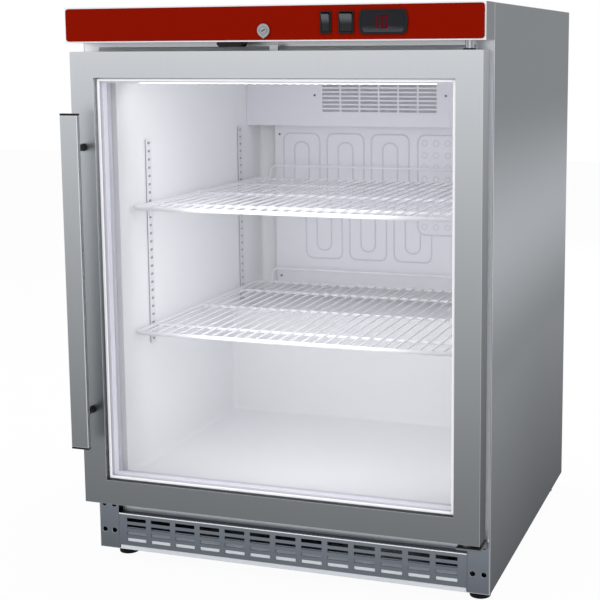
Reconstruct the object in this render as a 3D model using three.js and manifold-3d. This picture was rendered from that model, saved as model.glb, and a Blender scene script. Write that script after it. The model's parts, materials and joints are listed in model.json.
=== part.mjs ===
// Undercounter glass-door refrigerator with two wire shelves, a lockable door and a fan-cooled
// machine compartment. Millimetres, +Z up, front towards -Y. The origin is on the floor, at the
// middle of the object's width and overall depth.
import * as THREE from 'three';
import { mergeVertices } from 'three/addons/utils/BufferGeometryUtils.js';
import Module from 'manifold-3d';

const wasm = await Module();
wasm.setup();

// ---------------------------------------------------------------- driving dimensions
const cabinet = { width: 600, depth: 560, height: 820, floorGap: 20, sheet: 1 };
const seat = 0.3;
const runningGap = 0.8;

const wall = { side: 50, rear: 33, roof: 80, floor: 36, step: 40 };
const liner = { skin: 1.5, floorZ: 136, stepTopZ: 318, flange: 24.7 };

const door = { proud: 46, thickness: 33, inset: 4, bottomZ: 106.5, topGap: 12, border: 36, sheet: 1.2 };
const glazing = { recess: 10, pane: 4, cavity: 12, edgeCover: 8, edgeSeal: 3, spacer: 12, backLip: 2.4 };
const gasket = { width: 17, clearance: 1 };
const hinge = { inset: 22, setback: 17, pin: 4.5, sleeve: 5.5, collar: 7, reach: 11.5 };
const hingePlate = { thickness: 3, half: 12, flange: 30 };
const handle = { reach: 40, width: 27, bar: 8, length: 477, aboveDoorBottom: 92, post: 5, postFromEnd: 49 };

const fascia = { height: 48.5, proud: 50, cover: 1.7, margin: 2, corner: 4, sheet: 1 };
const control = { height: 29, rim: 2, lip: 1, wall: 1, depth: 22, pocket: 9 };
const rocker = { pivot: 1.5, endOut: 5.5, middleOut: 3.5, back: 1.5, endHalf: 11.5, backHalf: 8, tilt: 8 };
const powerSwitch = { x: 87.3, width: 15 };
const lightSwitch = { x: 115.5, width: 21 };
const controller = { x: 165.5, width: 66, height: 32, corner: 3, depth: 36 };
const lock = { aboveFasciaBottom: 14.7, plate: 8.85, point: 10.8, barrel: 8, cylinder: 4.8, depth: 26 };
const cam = { length: 24, halfWidth: 5, thickness: 3, behindBarrel: 2 };
const keeper = { halfWidth: 6, thickness: 1.4, height: 8.5, behindCam: 2 };

const plinth = { bottomZ: 21, topZ: 95.7, openingHalf: 267.6, sheet: 1.2, hole: 4 };
const plinthHoles = { insets: [8.5, 24.5], levels: [48.5, 88.5] };
const louvre = {
  bottomZ: 27, topZ: 76, hem: 12,
  rows: 4, slot: 31, slotHeight: 5.2, pitchX: 39.8, pitchZ: 10.4,
};
const tray = { sheet: 1.5, upstand: 42, upstandInset: 8 };
const foot = { radius: 15, neck: 11, pad: 6, insetX: 24, insetY: 45 };
const footStud = { radius: 4, length: 30, gap: 0.5 };

const pilaster = { width: 16, depth: 2.5, bottomZ: 320, length: 310, insets: { front: 89, rear: 429 } };
const shelfLevels = { upper: 533, lower: 348 };
const shelf = {
  rod: 6, bar: 4.5, wire: 3, weld: 0.5, pitch: 17.4,
  sideGap: 4.5, frontInset: 21, rearGap: 42, corner: 14,
};
const shelfStop = { height: 24, inset: 30, wire: 4 };
const crossBarInsets = [88, 249, 397];
const clip = { width: 12, tab: 9, plate: 2.2, height: 16 };

const duct = { depth: 62, drop: 110, sheet: 1.2 };
const grille = {
  x: -6, topDrop: 41,
  columns: 6, rows: 7, slot: 31, slotHeight: 4, pitchX: 34.5, pitchZ: 7.1,
};
const evaporator = { half: 213, bottomZ: 345, topGap: 6, plate: 2, standoff: 20.5, boss: 5, bossInset: 12 };
const lamp = { half: 218.5, inset: 5, width: 20, housing: 14, diffuser: 11 };
const coldFan = {
  size: 92, depth: 25, bore: 43, hub: 17, strut: 5, bladeDepth: 12.5,
  blades: 7, pitch: 35, chord: 16, blade: 1.6, tipGap: 2,
};

const compressor = { x: 150, forward: 4, baseZ: 44, radius: 76, flatness: 0.72, height: 150, plate: 4 };
const compressorShell = { shoulder: 61, crown: 34, curveBottom: 20, curveTop: 102, domeStart: 135 };
const compressorLeg = { radius: 8, x: 88, y: 43 };
const dripTray = { length: 170, width: 104, height: 32, wall: 2 };
const condenser = { x: -150, width: 210, height: 200, depth: 48, rearGap: 16 };
const hotFan = {
  depth: 22, bore: 84, hub: 26, bladeDepth: 15,
  blades: 5, pitch: 30, chord: 26, blade: 2, tipGap: 3,
};
const hotMotor = { radius: 34, length: 40, strut: 8, strutDepth: 6 };
const machineBay = { clearance: 5 };
const gland = { nut: 9, nutLength: 6, thread: 6, threadLength: 12, x: -20, aboveTray: 24 };

// ---------------------------------------------------------------- places worked out from them
const halfWidth = cabinet.width / 2;
const overallDepth = cabinet.depth + door.proud + handle.reach;
const frontY = -overallDepth / 2 + door.proud + handle.reach;
const rearY = overallDepth / 2;
const innerHalf = halfWidth - cabinet.sheet - seat;

const linerHalf = halfWidth - wall.side;
const linerBackY = rearY - wall.rear;
const ceilingZ = cabinet.height - wall.roof;
const condenserUnitDepth = condenser.rearGap + condenser.depth + hotFan.depth + hotMotor.length;
const compressorUnitDepth = 2 * (compressor.radius * compressor.flatness + compressor.forward);
const machineUnitDepth = Math.max(condenserUnitDepth, compressorUnitDepth);
const machineFrontY = rearY - machineUnitDepth - machineBay.clearance;
const stepFrontY = machineFrontY - wall.step;
const machineTopZ = liner.stepTopZ - wall.step;
const undersideZ = liner.floorZ - wall.floor;

const fasciaBottomZ = cabinet.height - fascia.height;
const fasciaFaceY = frontY - fascia.proud;
const fasciaMidZ = fasciaBottomZ + fascia.height / 2;

const doorHalf = halfWidth - door.inset;
const doorTopZ = fasciaBottomZ - door.topGap;
const doorFaceY = frontY - door.proud;
const doorBackY = doorFaceY + door.thickness;
const hingeX = doorHalf - hinge.inset;
const hingeY = doorFaceY + hinge.setback;

// ---------------------------------------------------------------- shapes and solids
const span = (centre, size) => [centre - size / 2, centre + size / 2];
const around = (centre, half) => [centre - half, centre + half];
const ordered = (a, b) => [Math.min(a, b), Math.max(a, b)];
const sides = { left: -1, right: 1 };

// A block between two opposite corners, given as a [low, high] pair for each axis.
function block(x, y, z) {
  const geometry = new THREE.BoxGeometry(1, 1, 1);
  const corner = geometry.attributes.position;
  for (let i = 0; i < corner.count; i += 1) {
    const along = (value, range) => (value < 0 ? range[0] : range[1]);
    corner.setXYZ(i, along(corner.getX(i), x), along(corner.getY(i), y), along(corner.getZ(i), z));
  }
  return geometry;
}

function roundBar(axis, radius, range, at, sides = 20, endRadius = radius) {
  const geometry = new THREE.CylinderGeometry(endRadius, radius, range[1] - range[0], sides);
  const middle = (range[0] + range[1]) / 2;
  if (axis === 'x') {
    return geometry.rotateZ(-Math.PI / 2).translate(middle, at[0], at[1]);
  }
  if (axis === 'y') {
    return geometry.translate(at[0], middle, at[1]);
  }
  return geometry.rotateX(Math.PI / 2).translate(at[0], at[1], middle);
}

function rectangle(x, z) {
  return new THREE.Shape([
    new THREE.Vector2(x[0], z[0]),
    new THREE.Vector2(x[1], z[0]),
    new THREE.Vector2(x[1], z[1]),
    new THREE.Vector2(x[0], z[1]),
  ]);
}

function roundedRectangle(x, z, radius) {
  const shape = new THREE.Shape();
  const corners = [
    [x[1] - radius, z[0] + radius, -Math.PI / 2],
    [x[1] - radius, z[1] - radius, 0],
    [x[0] + radius, z[1] - radius, Math.PI / 2],
    [x[0] + radius, z[0] + radius, Math.PI],
  ];
  for (const [centreX, centreZ, start] of corners) {
    shape.absarc(centreX, centreZ, radius, start, start + Math.PI / 2, false);
  }
  return shape;
}

// A flat ring: the outer rectangle with a border of the given width left round its hole.
function ringShape(x, z, border) {
  const shape = rectangle(x, z);
  shape.holes.push(rectangle([x[0] + border, x[1] - border], [z[0] + border, z[1] - border]));
  return shape;
}

// Extrusions of a shape: drawn in Y and Z and run along X, in X and Z along Y, in X and Y along Z.
const towards = {
  x: [new THREE.Vector3(0, 1, 0), new THREE.Vector3(0, 0, 1), new THREE.Vector3(1, 0, 0)],
  y: [new THREE.Vector3(1, 0, 0), new THREE.Vector3(0, 0, 1), new THREE.Vector3(0, -1, 0)],
  z: [new THREE.Vector3(1, 0, 0), new THREE.Vector3(0, 1, 0), new THREE.Vector3(0, 0, 1)],
};

function extrude(axis, shape, range, curveSegments = 4) {
  const depth = range[1] - range[0];
  const geometry = new THREE.ExtrudeGeometry(shape, { depth, bevelEnabled: false, curveSegments });
  geometry.applyMatrix4(new THREE.Matrix4().makeBasis(...towards[axis]));
  const start = { x: [range[0], 0, 0], y: [0, range[1], 0], z: [0, 0, range[0]] }[axis];
  return geometry.translate(...start);
}

// A profile of [radius, height] points turned about the vertical axis.
function turned(profile, sides) {
  const points = profile.map(([radius, height]) => new THREE.Vector2(radius, height));
  return new THREE.LatheGeometry(points, sides).rotateX(Math.PI / 2);
}

function toSolid(geometry) {
  const bare = geometry.clone();
  bare.deleteAttribute('normal');
  bare.deleteAttribute('uv');
  const merged = mergeVertices(bare, 1e-4);
  const vertProperties = Float32Array.from(merged.attributes.position.array);
  const triVerts = Uint32Array.from(merged.index.array);
  return new wasm.Manifold(new wasm.Mesh({ numProp: 3, vertProperties, triVerts }));
}

function toGeometry(solid) {
  const mesh = solid.getMesh();
  const geometry = new THREE.BufferGeometry();
  geometry.setAttribute('position', new THREE.BufferAttribute(mesh.vertProperties, 3));
  geometry.setIndex(new THREE.BufferAttribute(mesh.triVerts, 1));
  return geometry;
}

function join(...geometries) {
  return toGeometry(geometries.map(toSolid).reduce((whole, next) => whole.add(next)));
}

function cut(geometry, ...cutters) {
  return toGeometry(cutters.map(toSolid).reduce((whole, next) => whole.subtract(next), toSolid(geometry)));
}

// ---------------------------------------------------------------- finishes and the scene graph
const paint = (color, roughness, metalness) => () => (
  new THREE.MeshStandardMaterial({ color, roughness, metalness })
);
const brushedSteel = paint(0xa9adb0, 0.35, 0.9);
const galvanised = paint(0x9aa0a4, 0.5, 0.8);
const redPlastic = paint(0x941a04, 0.3, 0);
const chrome = paint(0xd5d8da, 0.12, 1);
const blackPlastic = paint(0x17181a, 0.4, 0);
const whitePlastic = paint(0xe6e8f2, 0.35, 0);
const whiteCoat = paint(0xf4f5f8, 0.3, 0);
const foamFill = paint(0xe8dcae, 0.9, 0);
const clearGlass = paint(0xdfe8ea, 0.05, 0);
const rubber = paint(0x2b2c2e, 0.8, 0);
const aluminium = paint(0xc6cacd, 0.4, 0.9);
const blackEnamel = paint(0x101112, 0.35, 0.2);

const refrigerator = new THREE.Group();
const cabinetGroup = new THREE.Group();
const doorGroup = new THREE.Group();
const machineGroup = new THREE.Group();
refrigerator.add(cabinetGroup, doorGroup, machineGroup);

function piece(group, name, geometry, finish) {
  const mesh = new THREE.Mesh(geometry, finish());
  mesh.name = name;
  group.add(mesh);
  return mesh;
}

// ---------------------------------------------------------------- outer casing
function makeCasing() {
  const sideZ = [cabinet.floorGap, cabinet.height];
  for (const [side, sign] of Object.entries(sides)) {
    const x = ordered(sign * halfWidth, sign * (halfWidth - cabinet.sheet));
    piece(cabinetGroup, `side_panel_${side}`, block(x, [frontY, rearY], sideZ), brushedSteel);
  }
  const between = [-innerHalf, innerHalf];
  const topZ = [cabinet.height - cabinet.sheet, cabinet.height];
  piece(cabinetGroup, 'top_panel', block(between, [frontY, rearY], topZ), brushedSteel);

  const backZ = [machineTopZ + seat, topZ[0] - seat];
  piece(cabinetGroup, 'back_panel', block(between, [rearY - cabinet.sheet, rearY], backZ), galvanised);

  const underSheet = new THREE.Shape([
    new THREE.Vector2(frontY + cabinet.sheet + seat, undersideZ - cabinet.sheet),
    new THREE.Vector2(machineFrontY, undersideZ - cabinet.sheet),
    new THREE.Vector2(machineFrontY, machineTopZ - cabinet.sheet),
    new THREE.Vector2(rearY, machineTopZ - cabinet.sheet),
    new THREE.Vector2(rearY, machineTopZ),
    new THREE.Vector2(machineFrontY - cabinet.sheet, machineTopZ),
    new THREE.Vector2(machineFrontY - cabinet.sheet, undersideZ),
    new THREE.Vector2(frontY + cabinet.sheet + seat, undersideZ),
  ]);
  piece(cabinetGroup, 'underbody_panel', extrude('x', underSheet, between), galvanised);

  const frameZ = [plinth.topZ + seat, topZ[0] - seat];
  const frameHole = rectangle(
    around(0, linerHalf + liner.flange + seat),
    [liner.floorZ - liner.flange - seat, ceilingZ + liner.flange + seat],
  );
  const frameShape = rectangle(between, frameZ);
  frameShape.holes.push(frameHole);
  const frameSheet = extrude('y', frameShape, [frontY, frontY + cabinet.sheet]);
  piece(cabinetGroup, 'front_frame', frameSheet, brushedSteel);
}

// ---------------------------------------------------------------- liner and insulation
// The stepped hollow that the liner encloses, grown by an offset on every side but the front.
function chamber(offset, startY) {
  const half = linerHalf + offset;
  const z = [liner.floorZ - offset, ceilingZ + offset];
  const whole = block([-half, half], [startY, linerBackY + offset], z);
  const stepWall = stepFrontY + offset;
  const stepTop = liner.stepTopZ - offset;
  const margin = linerBackY - stepFrontY;
  return cut(whole, block([-half - margin, half + margin], [stepWall, rearY + margin], [-margin, stepTop]));
}

function makeLiner() {
  const flangeHalf = linerHalf + liner.flange;
  const flangeZ = [liner.floorZ - liner.flange, ceilingZ + liner.flange];
  const flangePlate = block([-flangeHalf, flangeHalf], [frontY, frontY + liner.skin], flangeZ);
  const shell = join(chamber(liner.skin, frontY), flangePlate);
  const hollow = chamber(0, frontY - liner.skin);
  piece(cabinetGroup, 'inner_liner', cut(shell, hollow), whitePlastic);

  const foamHalf = innerHalf - seat;
  const foamY = [frontY + liner.skin + seat, rearY - cabinet.sheet - seat];
  const foamZ = [undersideZ + seat, cabinet.height - cabinet.sheet - seat];
  const reach = cabinet.width;
  const machineBay = block(
    [-reach, reach],
    [machineFrontY - cabinet.sheet - seat, reach],
    [-reach, machineTopZ + seat],
  );
  const filling = cut(
    block([-foamHalf, foamHalf], foamY, foamZ),
    machineBay,
    chamber(liner.skin + seat, frontY - liner.skin),
  );
  piece(cabinetGroup, 'insulation_foam', filling, foamFill);
}

// ---------------------------------------------------------------- control fascia
const controlFaceY = fasciaFaceY - seat;

function makeRockerSwitch(name, spec) {
  const rimHalfZ = control.height / 2;
  const bodyHalf = spec.width / 2 - control.lip;
  const bodyHalfZ = rimHalfZ - control.lip;
  const pocketHalf = bodyHalf - control.wall;
  const rimFrontY = controlFaceY - control.rim;
  const rim = block(
    around(spec.x, spec.width / 2),
    [rimFrontY, controlFaceY],
    around(fasciaMidZ, rimHalfZ),
  );
  const body = block(
    around(spec.x, bodyHalf),
    [controlFaceY - control.rim / 2, controlFaceY + control.depth],
    around(fasciaMidZ, bodyHalfZ),
  );
  const pocket = block(
    around(spec.x, pocketHalf),
    [rimFrontY - control.rim, controlFaceY + control.pocket],
    around(fasciaMidZ, bodyHalfZ - control.wall),
  );
  piece(cabinetGroup, `${name}_switch_housing`, cut(join(rim, body), pocket), blackPlastic);

  const profile = new THREE.Shape([
    new THREE.Vector2(-rocker.endOut, -rocker.endHalf),
    new THREE.Vector2(rocker.back, -rocker.backHalf),
    new THREE.Vector2(rocker.back, rocker.backHalf),
    new THREE.Vector2(-rocker.endOut, rocker.endHalf),
    new THREE.Vector2(-rocker.middleOut, 0),
  ]);
  const paddleHalf = pocketHalf - seat;
  const shape = extrude('x', profile, [-paddleHalf, paddleHalf]);
  const paddle = piece(cabinetGroup, `${name}_rocker`, shape, blackPlastic);
  paddle.position.set(spec.x, controlFaceY + rocker.pivot, fasciaMidZ);
  paddle.rotation.x = THREE.MathUtils.degToRad(rocker.tilt);
}

function makeController() {
  const x = around(controller.x, controller.width / 2);
  const z = around(fasciaMidZ, controller.height / 2);
  const outline = roundedRectangle(x, z, controller.corner);
  const bezel = extrude('y', outline, [controlFaceY - control.rim, controlFaceY]);
  const body = block(
    around(controller.x, controller.width / 2 - controller.corner),
    [controlFaceY - control.rim / 2, controlFaceY + controller.depth],
    around(fasciaMidZ, controller.height / 2 - controller.corner),
  );
  piece(cabinetGroup, 'controller', join(bezel, body), blackPlastic);
}

const lockZ = fasciaBottomZ + lock.aboveFasciaBottom;
const barrelEndY = controlFaceY + lock.depth;
const camY = [barrelEndY + cam.behindBarrel, barrelEndY + cam.behindBarrel + cam.thickness];

function makeLock() {
  const tangent = Math.acos(lock.plate / lock.point);
  const drop = new THREE.Shape();
  drop.absarc(0, lockZ, lock.plate, -Math.PI / 2 + tangent, Math.PI * 1.5 - tangent, false);
  drop.lineTo(0, lockZ - lock.point);
  const plate = extrude('y', drop, [controlFaceY - control.rim, controlFaceY], 10);
  const barrel = roundBar('y', lock.barrel, [controlFaceY - control.rim / 2, barrelEndY], [0, lockZ]);
  const bore = roundBar(
    'y',
    lock.cylinder + seat,
    [controlFaceY - control.rim * 2, barrelEndY + control.rim],
    [0, lockZ],
  );
  piece(cabinetGroup, 'lock_body', cut(join(plate, barrel), bore), chrome);

  const cylinderY = [controlFaceY - control.rim - seat, camY[0] + seat];
  const cylinder = roundBar('y', lock.cylinder, cylinderY, [0, lockZ]);
  const camShape = roundedRectangle(
    [-cam.length, cam.halfWidth],
    around(lockZ, cam.halfWidth),
    cam.halfWidth - seat,
  );
  piece(cabinetGroup, 'lock_cylinder', join(cylinder, extrude('y', camShape, camY)), chrome);
}

function makeFascia() {
  const housingFaceY = fasciaFaceY + fascia.cover + seat;
  const fasciaZ = [fasciaBottomZ, cabinet.height];
  const outer = block([-halfWidth, halfWidth], [housingFaceY, frontY - seat], fasciaZ);
  const inner = block(
    around(0, halfWidth - fascia.sheet),
    [housingFaceY + fascia.sheet, frontY + fascia.sheet],
    [fasciaBottomZ + fascia.sheet, cabinet.height - fascia.sheet],
  );
  const throughFront = [fasciaFaceY - fascia.sheet, housingFaceY + fascia.sheet * 2];
  const openings = [powerSwitch, lightSwitch].map((spec) => block(
    around(spec.x, spec.width / 2 - control.lip + seat),
    throughFront,
    around(fasciaMidZ, control.height / 2 - control.lip + seat),
  ));
  openings.push(block(
    around(controller.x, controller.width / 2 - controller.corner + seat),
    throughFront,
    around(fasciaMidZ, controller.height / 2 - controller.corner + seat),
  ));
  openings.push(roundBar('y', lock.barrel + seat, throughFront, [0, lockZ]));

  const throughBottom = [fasciaBottomZ - fascia.sheet, fasciaBottomZ + fascia.sheet * 2];
  const sleeveHole = roundBar('z', hinge.sleeve + runningGap, throughBottom, [hingeX, hingeY]);
  const camSlot = block(
    [-cam.length - runningGap, cam.halfWidth + runningGap * 2],
    [camY[0] - runningGap, camY[1] + runningGap],
    throughBottom,
  );
  const housing = cut(outer, inner, ...openings, sleeveHole, camSlot);
  piece(cabinetGroup, 'fascia_housing', housing, brushedSteel);

  const coverShape = roundedRectangle(
    around(0, halfWidth - fascia.margin),
    [fasciaBottomZ + fascia.margin, cabinet.height - fascia.margin],
    fascia.corner,
  );
  const cover = extrude('y', coverShape, [fasciaFaceY, fasciaFaceY + fascia.cover]);
  piece(cabinetGroup, 'fascia_cover', cut(cover, ...openings), redPlastic);
}

// ---------------------------------------------------------------- door hinges
const hingeX0 = hingeX - hingePlate.half;
const hingeX1 = doorHalf;
const hingePlateY = [hingeY - hingePlate.half, frontY - seat];

function makeHinges() {
  const plateX = [hingeX0, hingeX1];
  const flangeY = [frontY - seat - hingePlate.thickness, frontY - seat];
  const topZ = fasciaBottomZ + fascia.sheet + seat;
  const topPlate = block(plateX, hingePlateY, [topZ, topZ + hingePlate.thickness]);
  const topFlange = block(plateX, flangeY, [topZ, topZ + hingePlate.flange]);
  const sleeve = roundBar('z', hinge.sleeve, [doorTopZ + runningGap, topZ + seat], [hingeX, hingeY]);
  const topPin = roundBar('z', hinge.pin, [doorTopZ - hinge.reach, topZ + seat], [hingeX, hingeY]);
  piece(cabinetGroup, 'hinge_bracket_top', join(topPlate, topFlange, sleeve, topPin), chrome);

  const plateTopZ = door.bottomZ - hinge.collar;
  const lowPlate = block(plateX, hingePlateY, [plateTopZ - hingePlate.thickness, plateTopZ]);
  const lowFlange = block(plateX, flangeY, [plateTopZ - hingePlate.half, plateTopZ]);
  const axis = [hingeX, hingeY];
  const collar = roundBar('z', hinge.collar, [plateTopZ - seat, door.bottomZ - runningGap], axis);
  const lowPin = roundBar('z', hinge.pin, [plateTopZ - seat, door.bottomZ + hinge.reach], axis);
  piece(cabinetGroup, 'hinge_bracket_bottom', join(lowPlate, lowFlange, collar, lowPin), galvanised);
}

// ---------------------------------------------------------------- door
// A ring round the door, given by how far its outer and inner edges lie inside the door's edge.
function doorRing(outerInset, innerInset, y) {
  const x = around(0, doorHalf - outerInset);
  const z = [door.bottomZ + outerInset, doorTopZ - outerInset];
  return extrude('y', ringShape(x, z, innerInset - outerInset), y);
}

function doorPane(inset, y) {
  return block(around(0, doorHalf - inset), y, [door.bottomZ + inset, doorTopZ - inset]);
}

function makeDoor() {
  const paneInset = door.border - glazing.edgeCover;
  const paneY = doorFaceY + glazing.recess;
  const cavityY = paneY + glazing.pane;
  const innerPaneY = cavityY + glazing.cavity;
  const paneBackY = innerPaneY + glazing.pane;
  const pinHoles = [doorTopZ, door.bottomZ].map((z) => roundBar(
    'z',
    hinge.pin + runningGap,
    around(z, hinge.reach + runningGap),
    [hingeX, hingeY],
  ));

  const face = doorRing(0, door.border, [doorFaceY, doorFaceY + door.sheet]);
  const edge = doorRing(0, door.sheet, [doorFaceY, doorBackY]);
  const reveal = doorRing(door.border - door.sheet, door.border, [doorFaceY, paneY - seat]);
  const keeperY = camY[1] + keeper.behindCam;
  const keeperTab = block(
    around(0, keeper.halfWidth),
    [keeperY, keeperY + keeper.thickness],
    [doorTopZ - door.sheet, doorTopZ + keeper.height],
  );
  const casing = cut(join(face, edge, reveal, keeperTab), ...pinHoles);
  piece(doorGroup, 'door_frame', casing, brushedSteel);

  const coreInset = door.sheet + seat;
  const core = doorRing(coreInset, paneInset - seat, [doorFaceY + coreInset, doorBackY]);
  const lipY = [paneBackY + seat, paneBackY + seat + glazing.backLip];
  const lip = doorRing(coreInset, door.border + door.sheet, lipY);
  piece(doorGroup, 'door_inner_frame', cut(join(core, lip), ...pinHoles), whitePlastic);

  piece(doorGroup, 'door_glass_outer', doorPane(paneInset, [paneY, cavityY]), clearGlass);
  piece(doorGroup, 'door_glass_inner', doorPane(paneInset, [innerPaneY, paneBackY]), clearGlass);
  const spacerInset = paneInset + glazing.edgeSeal;
  const spacerY = [cavityY + seat, innerPaneY - seat];
  const spacer = doorRing(spacerInset, spacerInset + glazing.spacer, spacerY);
  piece(doorGroup, 'glass_spacer', spacer, aluminium);

  const sealY = [doorBackY + seat, frontY - gasket.clearance];
  const seal = doorRing(hinge.inset, hinge.inset + gasket.width, sealY);
  piece(doorGroup, 'door_gasket', seal, rubber);
}

function makeHandle() {
  const x = -doorHalf + door.border / 2;
  const barY = [doorFaceY - handle.reach, doorFaceY - handle.reach + handle.bar];
  const z = [door.bottomZ + handle.aboveDoorBottom, door.bottomZ + handle.aboveDoorBottom + handle.length];
  const bar = block(around(x, handle.width / 2), barY, z);
  const posts = [z[0] + handle.postFromEnd, z[1] - handle.postFromEnd].map((height) => (
    roundBar('y', handle.post, [barY[1] - seat, doorFaceY - seat], [x, height])
  ));
  piece(doorGroup, 'door_handle', join(bar, ...posts), brushedSteel);
}

// ---------------------------------------------------------------- plinth, base and feet
function makePlinth() {
  const sheetY = [frontY, frontY + plinth.sheet];
  const throughSheet = [frontY - plinth.sheet, frontY + plinth.sheet * 2];
  const z = [plinth.bottomZ, plinth.topZ];
  for (const [side, sign] of Object.entries(sides)) {
    const x = ordered(sign * innerHalf, sign * (plinth.openingHalf + seat));
    const holes = plinthHoles.insets.flatMap((inset) => plinthHoles.levels.map((level) => roundBar(
      'y',
      plinth.hole,
      throughSheet,
      [sign * (halfWidth - inset), level],
      10,
    )));
    piece(cabinetGroup, `plinth_plate_${side}`, cut(block(x, sheetY, z), ...holes), brushedSteel);
  }

  const x = [-plinth.openingHalf, plinth.openingHalf];
  const hemY = [frontY, frontY + louvre.hem + plinth.sheet];
  const slots = [];
  const columns = Math.floor((2 * plinth.openingHalf - louvre.pitchX / 4) / louvre.pitchX);
  const midZ = (louvre.bottomZ + louvre.topZ) / 2;
  for (let column = 0; column < columns; column += 1) {
    for (let row = 0; row < louvre.rows; row += 1) {
      const slotX = (column - (columns - 1) / 2) * louvre.pitchX;
      const slotZ = midZ + (row - (louvre.rows - 1) / 2) * louvre.pitchZ;
      slots.push(block(span(slotX, louvre.slot), throughSheet, span(slotZ, louvre.slotHeight)));
    }
  }
  const face = block(x, sheetY, [louvre.bottomZ, louvre.topZ]);
  const hem = block(x, hemY, [louvre.topZ - plinth.sheet, louvre.topZ]);
  const riser = block(x, [hemY[1] - plinth.sheet, hemY[1]], [louvre.topZ - plinth.sheet, plinth.topZ]);
  piece(cabinetGroup, 'louvre_panel', cut(join(face, hem, riser), ...slots), brushedSteel);
}

const trayTopZ = cabinet.floorGap + tray.sheet;
const upstandY = [rearY - tray.upstandInset - tray.sheet, rearY - tray.upstandInset];
const glandZ = trayTopZ + gland.aboveTray;

function makeBase() {
  const between = [-innerHalf, innerHalf];
  const floor = block(between, [frontY + plinth.sheet + seat, rearY], [cabinet.floorGap, trayTopZ]);
  const upstand = block(between, upstandY, [cabinet.floorGap, cabinet.floorGap + tray.upstand]);
  const throughUpstand = around(upstandY[0], tray.sheet * 2);
  const holes = [roundBar('y', gland.thread + seat, throughUpstand, [gland.x, glandZ])];
  const places = [];
  for (const [side, sign] of Object.entries(sides)) {
    for (const [end, y] of [['front', frontY + foot.insetY], ['rear', rearY - foot.insetY]]) {
      const at = [sign * (halfWidth - foot.insetX), y];
      places.push({ name: `foot_${end}_${side}`, at });
      holes.push(roundBar('z', footStud.radius + footStud.gap, around(cabinet.floorGap, tray.sheet * 2), at));
    }
  }
  piece(machineGroup, 'base_tray', cut(join(floor, upstand), ...holes), galvanised);

  const shoulderZ = cabinet.floorGap - seat;
  const profile = [
    [0, 0],
    [foot.radius, 0],
    [foot.radius, foot.pad],
    [foot.neck, foot.pad * 2],
    [foot.neck, shoulderZ],
    [footStud.radius, shoulderZ],
    [footStud.radius, shoulderZ + footStud.length],
    [0, shoulderZ + footStud.length],
  ];
  for (const { name, at } of places) {
    const mesh = piece(machineGroup, name, turned(profile, 20), blackPlastic);
    mesh.position.set(at[0], at[1], 0);
  }

  const nutY = [upstandY[1] + seat, upstandY[1] + seat + gland.nutLength];
  const nut = roundBar('y', gland.nut, nutY, [gland.x, glandZ], 6);
  const thread = roundBar(
    'y',
    gland.thread,
    [upstandY[0] - gland.threadLength, upstandY[1] + gland.nutLength],
    [gland.x, glandZ],
    16,
  );
  piece(machineGroup, 'mains_gland', join(nut, thread), blackPlastic);
}

// ---------------------------------------------------------------- shelves and their supports
const pilasterFace = linerHalf - seat - pilaster.depth;

function makePilasters() {
  const z = [pilaster.bottomZ, pilaster.bottomZ + pilaster.length];
  for (const [side, sign] of Object.entries(sides)) {
    const x = ordered(sign * (linerHalf - seat), sign * pilasterFace);
    for (const [end, inset] of Object.entries(pilaster.insets)) {
      const y = span(frontY + inset, pilaster.width);
      piece(cabinetGroup, `pilaster_${end}_${side}`, block(x, y, z), aluminium);
    }
  }
}

function makeClips() {
  const outer = pilasterFace - seat;
  for (const [level, shelfZ] of Object.entries(shelfLevels)) {
    const tabTop = shelfZ - shelf.rod / 2 - seat;
    for (const [side, sign] of Object.entries(sides)) {
      const reach = (length) => ordered(sign * outer, sign * (outer - length));
      for (const [end, inset] of Object.entries(pilaster.insets)) {
        const y = span(frontY + inset, clip.width);
        const upright = block(reach(clip.plate), y, [tabTop - clip.height, tabTop]);
        const tab = block(reach(clip.tab), y, [tabTop - clip.plate, tabTop]);
        piece(cabinetGroup, `shelf_clip_${level}_${end}_${side}`, join(upright, tab), whiteCoat);
      }
    }
  }
}

function makeShelf(name, shelfZ) {
  const half = linerHalf - shelf.sideGap;
  const y = [frontY + shelf.frontInset, linerBackY - shelf.rearGap];
  const rodHalf = shelf.rod / 2;
  const outline = roundedRectangle([-half, half], y, shelf.corner);
  outline.holes.push(roundedRectangle(
    around(0, half - shelf.rod),
    [y[0] + shelf.rod, y[1] - shelf.rod],
    shelf.corner - shelf.rod,
  ));
  const rim = extrude('z', outline, [shelfZ - rodHalf, shelfZ + rodHalf]);

  const overlap = shelf.weld;
  const wireZ = [shelfZ + rodHalf - shelf.wire, shelfZ + rodHalf - overlap];
  const barZ = [shelfZ - rodHalf, wireZ[0] + overlap];
  const bars = crossBarInsets.map((inset) => (
    block(around(0, half - rodHalf), span(frontY + inset, shelf.bar), barZ)
  ));
  const wires = [];
  const count = Math.floor((2 * (half - shelf.rod)) / shelf.pitch);
  for (let i = 0; i < count; i += 1) {
    const x = (i - (count - 1) / 2) * shelf.pitch;
    wires.push(block(span(x, shelf.wire), [y[0] + rodHalf, y[1] - rodHalf], wireZ));
  }

  const stopHalf = half - shelfStop.inset;
  const stopTop = shelfZ + rodHalf + shelfStop.height;
  const stopY = span(y[1] - rodHalf, shelfStop.wire);
  const stopRail = block([-stopHalf, stopHalf], stopY, [stopTop - shelfStop.wire, stopTop]);
  const stopPosts = [-1, 1].map((sign) => block(
    span(sign * (stopHalf - shelfStop.wire / 2), shelfStop.wire),
    stopY,
    [shelfZ, stopTop - shelfStop.wire / 2],
  ));
  piece(cabinetGroup, name, join(rim, ...bars, ...wires, stopRail, ...stopPosts), whiteCoat);
}

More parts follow.
